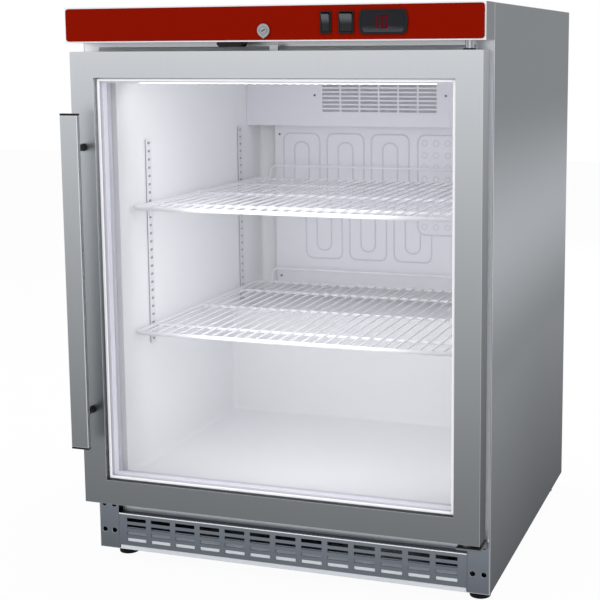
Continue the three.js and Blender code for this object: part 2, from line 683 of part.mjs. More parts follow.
// ---------------------------------------------------------------- evaporator, duct and lamp
const evaporatorBackY = linerBackY - evaporator.standoff;
const evaporatorFaceY = evaporatorBackY - evaporator.plate;
const ductY = linerBackY - duct.depth;
const ductZ = [ceilingZ - duct.drop, ceilingZ - seat];

function makeEvaporator() {
  const z = [evaporator.bottomZ, ceilingZ - evaporator.topGap];
  const plate = block(around(0, evaporator.half), [evaporatorFaceY, evaporatorBackY], z);
  const bosses = [-1, 1].flatMap((sign) => [z[0] + evaporator.bossInset, z[1] - evaporator.bossInset].map(
    (height) => roundBar(
      'y',
      evaporator.boss,
      [evaporatorBackY - seat, linerBackY - seat],
      [sign * (evaporator.half - evaporator.bossInset), height],
      12,
    ),
  ));
  piece(cabinetGroup, 'evaporator_plate', join(plate, ...bosses), whitePlastic);
}

const coldFanZ = (ductZ[0] + ductZ[1]) / 2 + duct.sheet;

function makeDuct() {
  const x = around(0, linerHalf - seat);
  const throughFront = around(ductY, duct.sheet * 2);
  const slots = [];
  for (let column = 0; column < grille.columns; column += 1) {
    for (let row = 0; row < grille.rows; row += 1) {
      const slotX = grille.x + (column - (grille.columns - 1) / 2) * grille.pitchX;
      const slotZ = ceilingZ - grille.topDrop - row * grille.pitchZ;
      slots.push(block(span(slotX, grille.slot), throughFront, span(slotZ, grille.slotHeight)));
    }
  }
  const front = block(x, [ductY, ductY + duct.sheet], ductZ);
  const underside = block(x, [ductY, evaporatorFaceY - seat], [ductZ[0], ductZ[0] + duct.sheet]);
  piece(cabinetGroup, 'fan_duct_cover', cut(join(front, underside), ...slots), whitePlastic);
}

function makeLamp() {
  const y = [frontY + lamp.inset, frontY + lamp.inset + lamp.width];
  const housingZ = [ceilingZ - seat - lamp.housing, ceilingZ - seat];
  piece(cabinetGroup, 'lamp_housing', block(around(0, lamp.half), y, housingZ), whitePlastic);
  const radius = lamp.width / 2;
  const diffuserTop = housingZ[0] - seat;
  const section = new THREE.Shape();
  section.absellipse((y[0] + y[1]) / 2, diffuserTop, radius, lamp.diffuser, Math.PI, 2 * Math.PI, false);
  piece(cabinetGroup, 'lamp_diffuser', extrude('x', section, around(0, lamp.half), 10), clearGlass);
}

// ---------------------------------------------------------------- fans
// A hub with pitched blades, turning about Y through its own origin.
function propeller(spec, tipRadius) {
  const hub = roundBar('y', spec.hub, around(0, spec.bladeDepth / 2), [0, 0]);
  const blades = [];
  for (let i = 0; i < spec.blades; i += 1) {
    const reach = [spec.hub - spec.blade, tipRadius];
    const blade = block(reach, around(0, spec.blade / 2), around(0, spec.chord / 2));
    blade.rotateX(THREE.MathUtils.degToRad(spec.pitch));
    blades.push(blade.rotateY((i * 2 * Math.PI) / spec.blades));
  }
  return join(hub, ...blades);
}

function makeColdFan() {
  const y0 = ductY + duct.sheet + seat;
  const y1 = y0 + coldFan.depth;
  const strutY = [y1 - coldFan.strut, y1];
  const side = around(grille.x, coldFan.size / 2);
  const body = block(side, [y0, y1], around(coldFanZ, coldFan.size / 2));
  const bore = roundBar('y', coldFan.bore, [y0 - seat, y1 + seat], [grille.x, coldFanZ], 28);
  const bladeEndY = y0 + seat + coldFan.bladeDepth;
  const motor = roundBar('y', coldFan.hub, [bladeEndY + seat, y1], [grille.x, coldFanZ]);
  const strutHalf = coldFan.strut / 2;
  const struts = [
    block(around(grille.x, coldFan.bore + seat), strutY, around(coldFanZ, strutHalf)),
    block(around(grille.x, strutHalf), strutY, around(coldFanZ, coldFan.bore + seat)),
  ];
  piece(cabinetGroup, 'evaporator_fan_frame', join(cut(body, bore), motor, ...struts), blackPlastic);
  const blade = propeller(coldFan, coldFan.bore - coldFan.tipGap);
  const mesh = piece(cabinetGroup, 'evaporator_fan_blade', blade, blackPlastic);
  mesh.position.set(grille.x, y0 + seat + coldFan.bladeDepth / 2, coldFanZ);
}

const condenserY = [rearY - condenser.rearGap - condenser.depth, rearY - condenser.rearGap];
const condenserZ = [trayTopZ + seat, trayTopZ + seat + condenser.height];
const hotFanZ = (condenserZ[0] + condenserZ[1]) / 2;

function makeHotFan() {
  const y = [condenserY[0] - seat - hotFan.depth, condenserY[0] - seat];
  const plate = block(around(condenser.x, condenser.width / 2), y, condenserZ);
  const bore = roundBar('y', hotFan.bore, [y[0] - seat, y[1] + seat], [condenser.x, hotFanZ], 32);
  const strutY = [y[0] - hotMotor.strutDepth, y[0] + seat];
  const motorY = [y[0] + seat - hotMotor.length, y[0] + seat];
  const motor = roundBar('y', hotMotor.radius, motorY, [condenser.x, hotFanZ]);
  const reach = hotFan.bore + hotMotor.strut;
  const struts = [
    block(around(condenser.x, reach), strutY, around(hotFanZ, hotMotor.strut / 2)),
    block(around(condenser.x, hotMotor.strut / 2), strutY, around(hotFanZ, reach)),
  ];
  piece(machineGroup, 'condenser_fan_frame', join(cut(plate, bore), motor, ...struts), blackEnamel);
  const blade = propeller(hotFan, hotFan.bore - hotFan.tipGap);
  const mesh = piece(machineGroup, 'condenser_fan_blade', blade, aluminium);
  mesh.position.set(condenser.x, motorY[1] + seat + hotFan.bladeDepth / 2, hotFanZ);
}

// ---------------------------------------------------------------- compressor and condenser
function makeMachine() {
  const finBlock = block(around(condenser.x, condenser.width / 2), condenserY, condenserZ);
  piece(machineGroup, 'condenser', finBlock, blackEnamel);

  const y = (machineFrontY + rearY) / 2 - compressor.forward;
  const top = compressor.baseZ + compressor.height;
  const profile = [
    [0, compressor.baseZ - compressor.plate / 2],
    [compressorShell.shoulder, compressor.baseZ - compressor.plate / 2],
    [compressor.radius, compressor.baseZ + compressorShell.curveBottom],
    [compressor.radius, compressor.baseZ + compressorShell.curveTop],
    [compressorShell.shoulder, compressor.baseZ + compressorShell.domeStart],
    [compressorShell.crown, top],
    [0, top],
  ];
  const shell = turned(profile, 28).scale(1, compressor.flatness, 1).translate(compressor.x, y, 0);
  const mountZ = [compressor.baseZ - compressor.plate, compressor.baseZ];
  const plate = block(
    around(compressor.x, compressorLeg.x + compressorLeg.radius),
    around(y, compressorLeg.y + compressorLeg.radius),
    mountZ,
  );
  const legs = [-1, 1].flatMap((signX) => [-1, 1].map((signY) => roundBar(
    'z',
    compressorLeg.radius,
    [trayTopZ + seat, compressor.baseZ - compressor.plate / 2],
    [compressor.x + signX * compressorLeg.x, y + signY * compressorLeg.y],
    12,
  )));
  piece(machineGroup, 'compressor', join(shell, plate, ...legs), blackEnamel);

  const trayZ = [top + seat, top + seat + dripTray.height];
  const basin = block(around(compressor.x, dripTray.length / 2), around(y, dripTray.width / 2), trayZ);
  const hollow = block(
    around(compressor.x, dripTray.length / 2 - dripTray.wall),
    around(y, dripTray.width / 2 - dripTray.wall),
    [trayZ[0] + dripTray.wall, trayZ[1] + dripTray.wall],
  );
  piece(machineGroup, 'drip_tray', cut(basin, hollow), blackPlastic);
}

makeCasing();
makeLiner();
makeFascia();
makeLock();
makeRockerSwitch('power', powerSwitch);
makeRockerSwitch('light', lightSwitch);
makeController();
makeHinges();
makeDoor();
makeHandle();
makePlinth();
makeBase();
makePilasters();
makeClips();
for (const [level, shelfZ] of Object.entries(shelfLevels)) {
  makeShelf(`shelf_${level}`, shelfZ);
}
makeEvaporator();
makeDuct();
makeLamp();
makeColdFan();
makeHotFan();
makeMachine();

export default refrigerator;
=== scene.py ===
import json
from math import pi, radians

import bmesh
import bpy
from mathutils import Matrix, Vector

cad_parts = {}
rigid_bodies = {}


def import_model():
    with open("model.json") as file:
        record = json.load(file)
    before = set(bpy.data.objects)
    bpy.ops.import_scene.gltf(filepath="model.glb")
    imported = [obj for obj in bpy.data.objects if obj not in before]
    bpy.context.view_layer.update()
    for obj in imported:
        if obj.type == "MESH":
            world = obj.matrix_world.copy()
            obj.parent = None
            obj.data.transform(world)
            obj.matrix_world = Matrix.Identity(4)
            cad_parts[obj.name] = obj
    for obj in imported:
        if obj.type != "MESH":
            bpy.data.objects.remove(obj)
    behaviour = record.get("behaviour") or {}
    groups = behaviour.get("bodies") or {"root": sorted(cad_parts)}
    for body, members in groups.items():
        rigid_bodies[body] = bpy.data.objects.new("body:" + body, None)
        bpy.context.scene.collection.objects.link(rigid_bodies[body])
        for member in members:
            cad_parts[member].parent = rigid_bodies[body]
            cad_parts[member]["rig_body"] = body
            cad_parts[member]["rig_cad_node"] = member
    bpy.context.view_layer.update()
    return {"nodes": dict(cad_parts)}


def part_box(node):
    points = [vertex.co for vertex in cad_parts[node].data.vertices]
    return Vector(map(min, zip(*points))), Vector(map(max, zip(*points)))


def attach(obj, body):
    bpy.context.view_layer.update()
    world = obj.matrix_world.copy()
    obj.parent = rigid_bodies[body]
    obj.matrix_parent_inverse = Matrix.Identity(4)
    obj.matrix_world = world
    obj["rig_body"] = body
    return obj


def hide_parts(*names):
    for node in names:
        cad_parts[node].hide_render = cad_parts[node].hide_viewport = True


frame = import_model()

MM = 0.001

# -------------------- casing
# The casing is folded from brushed stainless sheet: two sides, a top, a back, an underbody over
# the machine bay, and a frame round the front opening. The folds leave a small round edge.


def colour(red, green, blue):
    """A display colour from 0 to 255, as the linear colour that a shader takes."""
    parts = [part / 255 for part in (red, green, blue)]
    return (*[p / 12.92 if p < 0.04045 else ((p + 0.055) / 1.055) ** 2.4 for p in parts], 1.0)


class Reading:
    """A value that varies over a surface. Arithmetic on it adds Math nodes."""

    def __init__(self, nodes, socket):
        self.nodes = nodes
        self.socket = socket

    def __add__(self, other):
        return self.nodes.maths("ADD", self, other)

    def __sub__(self, other):
        return self.nodes.maths("SUBTRACT", self, other)

    def __rsub__(self, other):
        return self.nodes.maths("SUBTRACT", other, self)

    def __mul__(self, other):
        return self.nodes.maths("MULTIPLY", self, other)

    __radd__ = __add__
    __rmul__ = __mul__


class Nodes:
    """A node tree. node() adds a node, and show() sends a shader to the output."""

    def __init__(self, tree):
        self.tree = tree

    def node(self, kind, settings, values, output=0):
        node = self.tree.nodes.new(kind)
        for name, value in settings.items():
            setattr(node, name, value)
        sockets = values.items() if isinstance(values, dict) else enumerate(values)
        for socket, value in sockets:
            if isinstance(value, Reading):
                self.tree.links.new(value.socket, node.inputs[socket])
            else:
                node.inputs[socket].default_value = value
        return Reading(self, node.outputs[output])

    def maths(self, operation, first, second=0.0):
        return self.node("ShaderNodeMath", {"operation": operation}, [first, second])

    def show(self, shader, output="Material Output"):
        self.tree.links.new(shader.socket, self.tree.nodes[output].inputs["Surface"])


class Finish(Nodes):
    """One material. Constants are set on its shader, and feed() links what varies."""

    def __init__(self, name, **constants):
        self.material = bpy.data.materials.new(name)
        self.material.use_nodes = True
        super().__init__(self.material.node_tree)
        self.shader = self.tree.nodes["Principled BSDF"]
        self.plain = Reading(self, self.shader.outputs["BSDF"])
        for socket, value in constants.items():
            self.shader.inputs[socket.replace("_", " ")].default_value = value

    def feed(self, **sources):
        for socket, source in sources.items():
            self.tree.links.new(source.socket, self.shader.inputs[socket.replace("_", " ")])


def mixed(finish, share, first, second):
    """Two colours mixed by a share from 0 to 1."""
    return finish.node("ShaderNodeMix", {"data_type": "RGBA"}, {0: share, 6: first, 7: second}, 2)


def scaled(finish, tint, amount):
    """A colour made lighter or darker."""
    values = {"Vector": tint, "Scale": amount}
    return finish.node("ShaderNodeVectorMath", {"operation": "SCALE"}, values)


def noise(finish, stretch, detail=3.0):
    """Soft noise over the piece, with this many blotches to a metre along X, Y and Z."""
    place = finish.node("ShaderNodeTexCoord", {}, {}, "Object")
    laid = finish.node("ShaderNodeMapping", {}, {"Vector": place, "Scale": stretch})
    return finish.node("ShaderNodeTexNoise", {}, {"Vector": laid, "Scale": 1.0, "Detail": detail})


def relief(finish, height, depth, strength=0.3):
    """A bump of this depth in metres."""
    values = {"Strength": strength, "Distance": depth, "Height": height}
    finish.feed(Normal=finish.node("ShaderNodeBump", {}, values))


def along(finish, axis):
    """The place on the piece along X, Y or Z, in metres."""
    place = finish.node("ShaderNodeTexCoord", {}, {}, "Object")
    return finish.node("ShaderNodeSeparateXYZ", {}, [place], axis)


def eased(finish, value, start, end):
    """A share that eases from 0 to 1 as the value goes from the start to the end."""
    span = {"Value": value, "From Min": start, "From Max": end}
    return finish.node("ShaderNodeMapRange", {"interpolation_type": "SMOOTHSTEP"}, span)


UPRIGHT_GRAIN = (2600.0, 2600.0, 14.0)
PAINTED_SHEEN_MIDDLE, PAINTED_SHEEN_REACH = 0.51, 0.19


def brushed_steel(name, high, low, roughness, top=0.82, painted_shade_fall=1.6, painted_sheen=0.0, rim=0.6):
    """Stainless sheet with a fine upright grain. Its colour darkens towards the floor as painted
    shade, and an optional painted sheen band lightens it round mid-height.
    """
    finish = Finish(name, Metallic=0.9, Specular_Tint=(rim, rim, rim, 1.0))
    lines = noise(finish, UPRIGHT_GRAIN)
    cloud = noise(finish, (2.2, 2.2, 1.1), 1.0)
    height = along(finish, "Z")
    # painted shade: the colour goes from the high tone at the top to the low tone near the floor
    span = {"Value": height + (cloud - 0.5) * 0.1, "From Max": top}
    painted_lightness = finish.node("ShaderNodeMapRange", {}, span)
    tone = mixed(finish, finish.maths("POWER", painted_lightness, painted_shade_fall), colour(*low), colour(*high))
    # painted sheen: a soft bright band round mid-height, standing in for a reflection
    if painted_sheen:
        away = finish.maths("ABSOLUTE", height - PAINTED_SHEEN_MIDDLE)
        sheen_share = 1.0 - eased(finish, away, 0.0, PAINTED_SHEEN_REACH)
        tone = scaled(finish, tone, sheen_share * painted_sheen + 1.0)
    finish.feed(
        Base_Color=scaled(finish, tone, lines * 0.1 + 0.95),
        Roughness=lines * 0.12 + (roughness - 0.06),
    )
    relief(finish, lines, 0.00003, 0.2)
    return finish.material


# casing steel: painted shade towards the floor, and a painted sheen band round mid-height
casing_steel = brushed_steel("casing_steel", (152, 156, 160), (84, 88, 92), 0.38, 0.3, 1.0, 0.85, 0.42)
# painted highlight: a bright steel for rounded edges, standing in for the light they catch
edge_highlight_steel = brushed_steel("edge_highlight_steel", (240, 242, 244), (190, 194, 198), 0.2)


def alone(piece):
    """Makes the piece the only one selected, and the active one."""
    bpy.ops.object.select_all(action="DESELECT")
    piece.select_set(True)
    bpy.context.view_layer.objects.active = piece


def smooth(sharpest):
    """Shades the selected piece smooth, but for edges that turn by more than this angle."""
    bpy.ops.object.shade_smooth_by_angle(angle=radians(sharpest))


def round_edges(piece, width, segments=2, sharpest=35, edge_highlight=None):
    """Rounds every edge that turns by more than an angle. A brighter finish may be given to the
    rounded edges as a painted highlight.
    """
    alone(piece)
    smooth(sharpest)
    rounding = piece.modifiers.new("rounding", "BEVEL")
    rounding.width = width
    rounding.segments = segments
    rounding.limit_method = "ANGLE"
    rounding.angle_limit = radians(sharpest)
    rounding.harden_normals = True
    if edge_highlight:
        while len(piece.data.materials) < 2:
            piece.data.materials.append(edge_highlight)
        piece.data.materials[1] = edge_highlight
        rounding.material = 1
    bpy.ops.object.modifier_apply(modifier=rounding.name)


def fitted(piece, finish, rounding=0.0, segments=2, body="cabinet"):
    """Rounds a new piece's edges, and gives it its material and its body of the record."""
    if rounding:
        round_edges(piece, rounding, segments)
    if len(piece.data.materials) < 2:
        piece.data.materials.clear()
        piece.data.materials.append(finish)
    piece.data.materials[0] = finish
    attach(piece, body)
    return piece


def merged_copy(node, name):
    """A CAD node's own shape as a new piece, its loose triangles merged into clean faces."""
    alone(frame["nodes"][node])
    bpy.ops.object.duplicate()
    piece = bpy.context.object
    piece.name = name
    piece.data.name = name
    del piece["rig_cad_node"]
    piece.parent = None
    bpy.ops.mesh.customdata_custom_splitnormals_clear()
    bpy.ops.object.mode_set(mode="EDIT")
    bpy.ops.mesh.select_all(action="SELECT")
    bpy.ops.mesh.remove_doubles(threshold=0.00001)
    bpy.ops.mesh.dissolve_limited(angle_limit=radians(0.5))
    bpy.ops.object.mode_set(mode="OBJECT")
    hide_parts(node)
    return piece


def formed(node, width, finish, segments=2, edge_highlight=None):
    """A copy of a CAD node with its edges rounded as on the real sheet or moulding."""
    piece = merged_copy(node, node + "_formed")
    piece.data.materials.clear()
    piece.data.materials.append(finish)
    round_edges(piece, width, segments, edge_highlight=edge_highlight)
    return fitted(piece, finish, body=frame["nodes"][node]["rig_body"])


def paint(piece, finish, test):
    """Gives the faces whose middle and normal pass the test another finish."""
    index = len(piece.data.materials)
    piece.data.materials.append(finish)
    for face in piece.data.polygons:
        if test(face.center, face.normal):
            face.material_index = index


for panel in ("side_panel_left", "side_panel_right", "top_panel"):
    formed(panel, 0.5 * MM, casing_steel, 2, edge_highlight_steel)
back_sheet = formed("back_panel", 0.5 * MM, casing_steel, 2, edge_highlight_steel)
# painted light: the front frame is lightened against the shade of its recess behind the door
painted_light_steel = brushed_steel("painted_light_steel", (240, 242, 246), (214, 216, 220), 0.36)
formed("front_frame", 0.4 * MM, painted_light_steel)


def spangled(name, tint):
    """Hot-dip galvanised sheet, with its flat crystals of zinc."""
    finish = Finish(name, Metallic=0.85)
    place = finish.node("ShaderNodeTexCoord", {}, {}, "Object")
    crystals = finish.node("ShaderNodeTexVoronoi", {}, {"Vector": place, "Scale": 95.0}, "Color")
    shade = finish.node("ShaderNodeSeparateXYZ", {}, [crystals], "X")
    finish.feed(
        Base_Color=scaled(finish, mixed(finish, shade, tint, tint), shade * 0.22 + 0.86),
        Roughness=shade * 0.2 + 0.34,
    )
    return finish.material


zinc = spangled("zinc_sheet", colour(176, 181, 184))
formed("underbody_panel", 0.4 * MM, zinc)

# -------------------- liner and insulation
# The liner is vacuum-formed from white plastic sheet, so all its corners are round. Foam poured
# between it and the casing holds both together.


def moulded(name, tint, roughness, grain=700.0, depth=0.00006, **constants):
    """Moulded plastic: an even colour, faintly clouded, with a fine orange-peel surface."""
    finish = Finish(name, **constants)
    cloud = noise(finish, (5.0, 5.0, 5.0), 2.0)
    skin = noise(finish, (grain, grain, grain), 2.0)
    finish.feed(
        Base_Color=scaled(finish, mixed(finish, cloud, tint, tint), cloud * 0.06 + 0.97),
        Roughness=cloud * 0.1 + (roughness - 0.05),
    )
    relief(finish, skin, depth)
    return finish.material


liner_white = moulded("liner_white", colour(239, 240, 243), 0.42, Specular_IOR_Level=0.3)


def pick(piece, test):
    """Selects, in edit mode, the edges whose middle and fold angle pass the test."""
    mesh = bmesh.from_edit_mesh(piece.data)
    for element in [*mesh.faces, *mesh.edges, *mesh.verts]:
        element.select_set(False)
    bpy.context.tool_settings.mesh_select_mode = (False, True, False)
    mesh.normal_update()
    for edge in mesh.edges:
        middle = (edge.verts[0].co + edge.verts[1].co) / 2
        edge.select_set(test(middle, edge.calc_face_angle(0.0)))
    bmesh.update_edit_mesh(piece.data)


def bevelled(piece, test, width, segments=1, **settings):
    """Bevels the edges of the active piece that pick() finds with this test."""
    bpy.ops.object.mode_set(mode="EDIT")
    pick(piece, test)
    bpy.ops.mesh.bevel(offset=width, segments=segments, **settings)
    bpy.ops.object.mode_set(mode="OBJECT")


liner = merged_copy("inner_liner", "inner_liner_formed")
liner_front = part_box("inner_liner")[0].y
RIM_DEEP = 20 * MM


def liner_corner(middle, fold):
    """The long corners between the liner's walls, floor, step and ceiling, behind its rim."""
    return abs(fold) > 1 and middle.y > liner_front + RIM_DEEP


bevelled(liner, liner_corner, 7 * MM, 4, clamp_overlap=True)
fitted(liner, liner_white, 0.3 * MM, 1)

foam_finish = Finish("foam", Roughness=0.9)
cells = noise(foam_finish, (450.0, 450.0, 450.0))
foam_finish.feed(Base_Color=mixed(foam_finish, cells, colour(226, 214, 168), colour(240, 232, 196)))
relief(foam_finish, cells, 0.0006)
foam = frame["nodes"]["insulation_foam"]
foam.data.materials.clear()
foam.data.materials.append(foam_finish.material)

# -------------------- fascia
# A folded steel housing carries a flat red cover of printed sheet with round corners, which stops
# short of the housing's edges.
housing = formed("fascia_housing", 0.5 * MM, casing_steel, 2, edge_highlight_steel)
# painted light: the housing's forward faces get the lighter steel
paint(housing, painted_light_steel, lambda middle, normal: normal.y < -0.5)
red = moulded("fascia_red", colour(132, 16, 0), 0.45, Specular_IOR_Level=0.02)
formed("fascia_cover", 0.35 * MM, red)

# -------------------- lock
# A chromed die-cast cam lock, clamped through the fascia: a drop-shaped plate with a raised rim,
# and a cylinder with a slanted key slot that turns a cam behind the fascia.


def polished(name, tint, roughness, painted_reflection=0.0):
    """Bright plating or bare metal with faint wipe marks. A painted reflection may be added, in bands
    that follow how far the surface turns sideways.
    """
    finish = Finish(name, Metallic=1.0)
    marks = noise(finish, (160.0, 160.0, 160.0))
    turned = finish.node("ShaderNodeNewGeometry", {}, {}, "Normal")
    aside = finish.node("ShaderNodeSeparateXYZ", {}, [turned], "X")
    reflection_bands = finish.maths("SINE", aside * 7.0 - 0.3) * painted_reflection
    finish.feed(
        Base_Color=scaled(finish, mixed(finish, marks, tint, tint), marks * 0.1 + 0.93 + reflection_bands),
        Roughness=marks * 0.12 + (roughness - 0.04),
    )
    return finish.material


# chrome: painted reflection bands on its turned surfaces
chrome = polished("chrome", colour(168, 171, 174), 0.14, 0.4)


def cut_out(piece, *cutters):
    """Cuts the cutters out of the piece, and removes them."""
    for cutter in cutters:
        alone(piece)
        cutting = piece.modifiers.new("cut", "BOOLEAN")
        cutting.object = cutter
        cutting.solver = "EXACT"
        bpy.ops.object.modifier_apply(modifier=cutting.name)
        bpy.data.objects.remove(cutter)


def settle(piece, name):
    """Puts a new piece's place into its mesh, and names it."""
    alone(piece)
    bpy.ops.object.transform_apply(location=True, rotation=True, scale=True)
    piece.name = name
    piece.data.name = name
    return piece


def begin(name, add, scale=(1, 1, 1), **settings):
    """A primitive added by itself, with its place, turn and scale put into its mesh."""
    bpy.ops.object.select_all(action="DESELECT")
    add(**settings)
    bpy.context.object.scale = scale
    return settle(bpy.context.object, name)


def block(name, low, high):
    """A cube brought to two opposite corners."""
    low, high = Vector(low), Vector(high)
    return begin(name, bpy.ops.mesh.primitive_cube_add, high - low, size=1, location=(low + high) / 2)


TURNS = {"X": (0, radians(90), 0), "Y": (radians(90), 0, 0), "Z": (0, 0, 0)}


def bar(name, axis, radius, start, length, sides=32):
    """A cylinder whose middle line runs from the start along X, Y or Z."""
    ahead = Vector([length * (letter == axis) for letter in "XYZ"])
    middle = Vector(start) + ahead / 2
    return begin(
        name, bpy.ops.mesh.primitive_cylinder_add, vertices=sides, radius=radius,
        depth=abs(length), location=middle, rotation=TURNS[axis],
    )


def joined(name, pieces):
    """Several meshes made one piece."""
    alone(pieces[0])
    for piece in pieces:
        piece.select_set(True)
    bpy.ops.object.join()
    pieces[0].name = name
    pieces[0].data.name = name
    return pieces[0]


def ring(name, place, radius, thick, steps, sides):
    """A round ring that lies flat against an upright face."""
    return begin(
        name, bpy.ops.mesh.primitive_torus_add, location=place, rotation=TURNS["Y"],
        major_radius=radius, minor_radius=thick, major_segments=steps, minor_segments=sides,
    )


lock_low, lock_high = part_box("lock_cylinder")
lock_face = Vector((0.0, lock_low.y, (lock_low.z + lock_high.z) / 2))
formed("lock_body", 0.5 * MM, chrome, 3)
key = formed("lock_cylinder", 0.3 * MM, chrome)
slot = block("key_slot", (-2.9 * MM, -1.5 * MM, -0.65 * MM), (2.9 * MM, 1.5 * MM, 0.65 * MM))
# painted shadow: a black plate at the foot of the key slot
slot_shadow = block("key_slot_shadow", (-3.2 * MM, 1.2 * MM, -1.2 * MM), (3.2 * MM, 1.45 * MM, 1.2 * MM))
for piece in (slot, slot_shadow):
    piece.data.transform(Matrix.Rotation(radians(-28), 4, "Y"))
    piece.data.transform(Matrix.Translation(lock_face))
cut_out(key, slot)
shadow = moulded("shadow_black", colour(14, 14, 16), 0.7)
fitted(slot_shadow, shadow, body="lock")
lock_rim = ring("lock_rim", lock_face + Vector((0, 0.35 * MM, 0)), 6.3 * MM, 0.55 * MM, 40, 10)
fitted(lock_rim, chrome)

# -------------------- rocker switches
# Two switches of moulded gloss black plastic, snapped into the fascia. Each has a housing and a
# paddle that rocks in it, its upper half lighter with a painted highlight.
gloss_black = moulded("gloss_black", colour(20, 21, 24), 0.35, 300.0, Specular_IOR_Level=0.2)
paddle = Finish("paddle_black", Specular_IOR_Level=0.25)
rocker_low, rocker_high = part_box("power_rocker")
# painted highlight: the paddle turns lighter towards its top
painted_highlight = eased(paddle, along(paddle, "Z"), rocker_low.z + 9 * MM, rocker_high.z - 4 * MM)
paddle.feed(
    Base_Color=mixed(paddle, painted_highlight, colour(22, 23, 26), colour(84, 87, 92)),
    Roughness=noise(paddle, (500.0, 500.0, 500.0)) * 0.2 + 0.25,
)
for name in ("power", "light"):
    formed(name + "_switch_housing", 0.4 * MM, gloss_black)
    formed(name + "_rocker", 0.5 * MM, paddle.material, 3)

# -------------------- controller
# A thermostat of moulded black plastic, snapped into the fascia: a bezel with bowed ends on a
# plain case, a smoked window sunk in the bezel, and red segment digits on it.
control_low, control_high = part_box("controller")
BEZEL = 2 * MM
BOW = 5 * MM
RECESS = Vector((3.4 * MM, 0, 2.6 * MM))
WINDOW_GAP = 0.3 * MM
CASE_INSET = 3 * MM


def bowed_plate(name, low, high, edge):
    """A plate whose left and right ends bow outwards."""
    reach = (high.z - low.z) / 2 - 0.1 * MM
    spare = Vector((reach - BOW, 0, 0))
    plate = block(name, low - spare, high + spare)
    bpy.ops.object.mode_set(mode="EDIT")
    middle_y = (low.y + high.y) / 2
    pick(plate, lambda middle, fold: abs(middle.y - middle_y) < 0.01 * MM)
    bpy.ops.mesh.bevel(offset=reach, segments=14)
    for start, sign in ((low.x + BOW, -1), (high.x - BOW, 1)):
        mesh = bmesh.from_edit_mesh(plate.data)
        bpy.context.tool_settings.mesh_select_mode = (True, False, False)
        for vertex in mesh.verts:
            vertex.select_set((vertex.co.x - start) * sign > 0.01 * MM)
        mesh.select_flush_mode()
        bmesh.update_edit_mesh(plate.data)
        bpy.ops.transform.resize(value=(BOW / reach, 1, 1), center_override=(start, 0, 0))
    bpy.ops.object.mode_set(mode="OBJECT")
    round_edges(plate, edge, 3, 50)
    return plate


bezel_high = Vector((control_high.x, control_low.y + BEZEL, control_high.z))
bezel = bowed_plate("controller_bezel", control_low, bezel_high, 0.8 * MM)
well_low = control_low + RECESS - Vector((0, 1 * MM, 0))
well_high = Vector((control_high.x, control_low.y + 0.5 * MM, control_high.z)) - RECESS
cut_out(bezel, bowed_plate("well", well_low, well_high, 0.05 * MM))
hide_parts("controller")
fitted(bezel, gloss_black)
smoked = Finish("smoked_window", Specular_IOR_Level=0.15)
haze = noise(smoked, (90.0, 90.0, 220.0))
hazed_height = along(smoked, "Z") + haze * 0.006
clearer = eased(smoked, hazed_height, control_low.z + 6 * MM, control_low.z + 15 * MM)
smoked.feed(
    Base_Color=mixed(smoked, clearer, colour(62, 64, 70), colour(24, 25, 30)),
    Roughness=haze * 0.2 + 0.15,
)
window_low = control_low + RECESS + Vector((WINDOW_GAP, 0.15 * MM, WINDOW_GAP))
window_high = well_high + Vector((-WINDOW_GAP, 0.3 * MM, -WINDOW_GAP))
window = bowed_plate("controller_window", window_low, window_high, 0.1 * MM)
fitted(window, smoked.material)
case = block(
    "controller_case",
    (control_low.x + CASE_INSET, bezel_high.y - 0.2 * MM, control_low.z + CASE_INSET),
    (control_high.x - CASE_INSET, control_high.y, control_high.z - CASE_INSET),
)
fitted(case, gloss_black, 1.2 * MM, 3)

digit_finish = Finish("lit_digit", Roughness=0.6, Specular_IOR_Level=0.0, Emission_Strength=0.5)
glow = noise(digit_finish, (900.0, 900.0, 900.0), 1.0)
digit_finish.feed(
    Base_Color=mixed(digit_finish, glow, colour(58, 2, 6), colour(66, 3, 8)),
    Emission_Color=mixed(digit_finish, glow, colour(110, 2, 14), colour(122, 4, 18)),
)
DIGIT_HIGH, DIGIT_WIDE = 17 * MM, 9 * MM
DIGIT_THICK = 0.2 * MM
STROKE = 2.2 * MM
SEGMENT_GAP = 0.5 * MM
digit_y = window_low.y - 0.12 * MM
digit_z = (control_low.z + control_high.z) / 2


def segment(x, z, wide, high, chamfer=0.6 * MM):
    """A lit segment round this middle, its corners cut off."""
    low = (x - wide / 2, digit_y, z - high / 2)
    piece = block("segment", low, (x + wide / 2, digit_y + DIGIT_THICK, z + high / 2))
    if chamfer:
        middle_y = digit_y + DIGIT_THICK / 2
        bevelled(piece, lambda middle, fold: abs(middle.y - middle_y) < 0.01 * MM, chamfer)
    return piece


zero_x, one_x = control_low.x + 35 * MM, control_low.x + 25.5 * MM
quarter = DIGIT_HIGH / 4
half_wide = (DIGIT_WIDE - STROKE) / 2
half_high = (DIGIT_HIGH - STROKE) / 2
segments = []
for x in (zero_x - half_wide, zero_x + half_wide, one_x):
    for z in (quarter, -quarter):
        segments.append(segment(x, digit_z + z, STROKE, DIGIT_HIGH / 2 - SEGMENT_GAP))
for z in (half_high, -half_high):
    segments.append(segment(zero_x, digit_z + z, DIGIT_WIDE - SEGMENT_GAP, STROKE))
segments.append(segment(one_x + 2.6 * MM, digit_z - half_high, STROKE, STROKE, 0.0))
fitted(joined("controller_digits", segments), digit_finish.material)

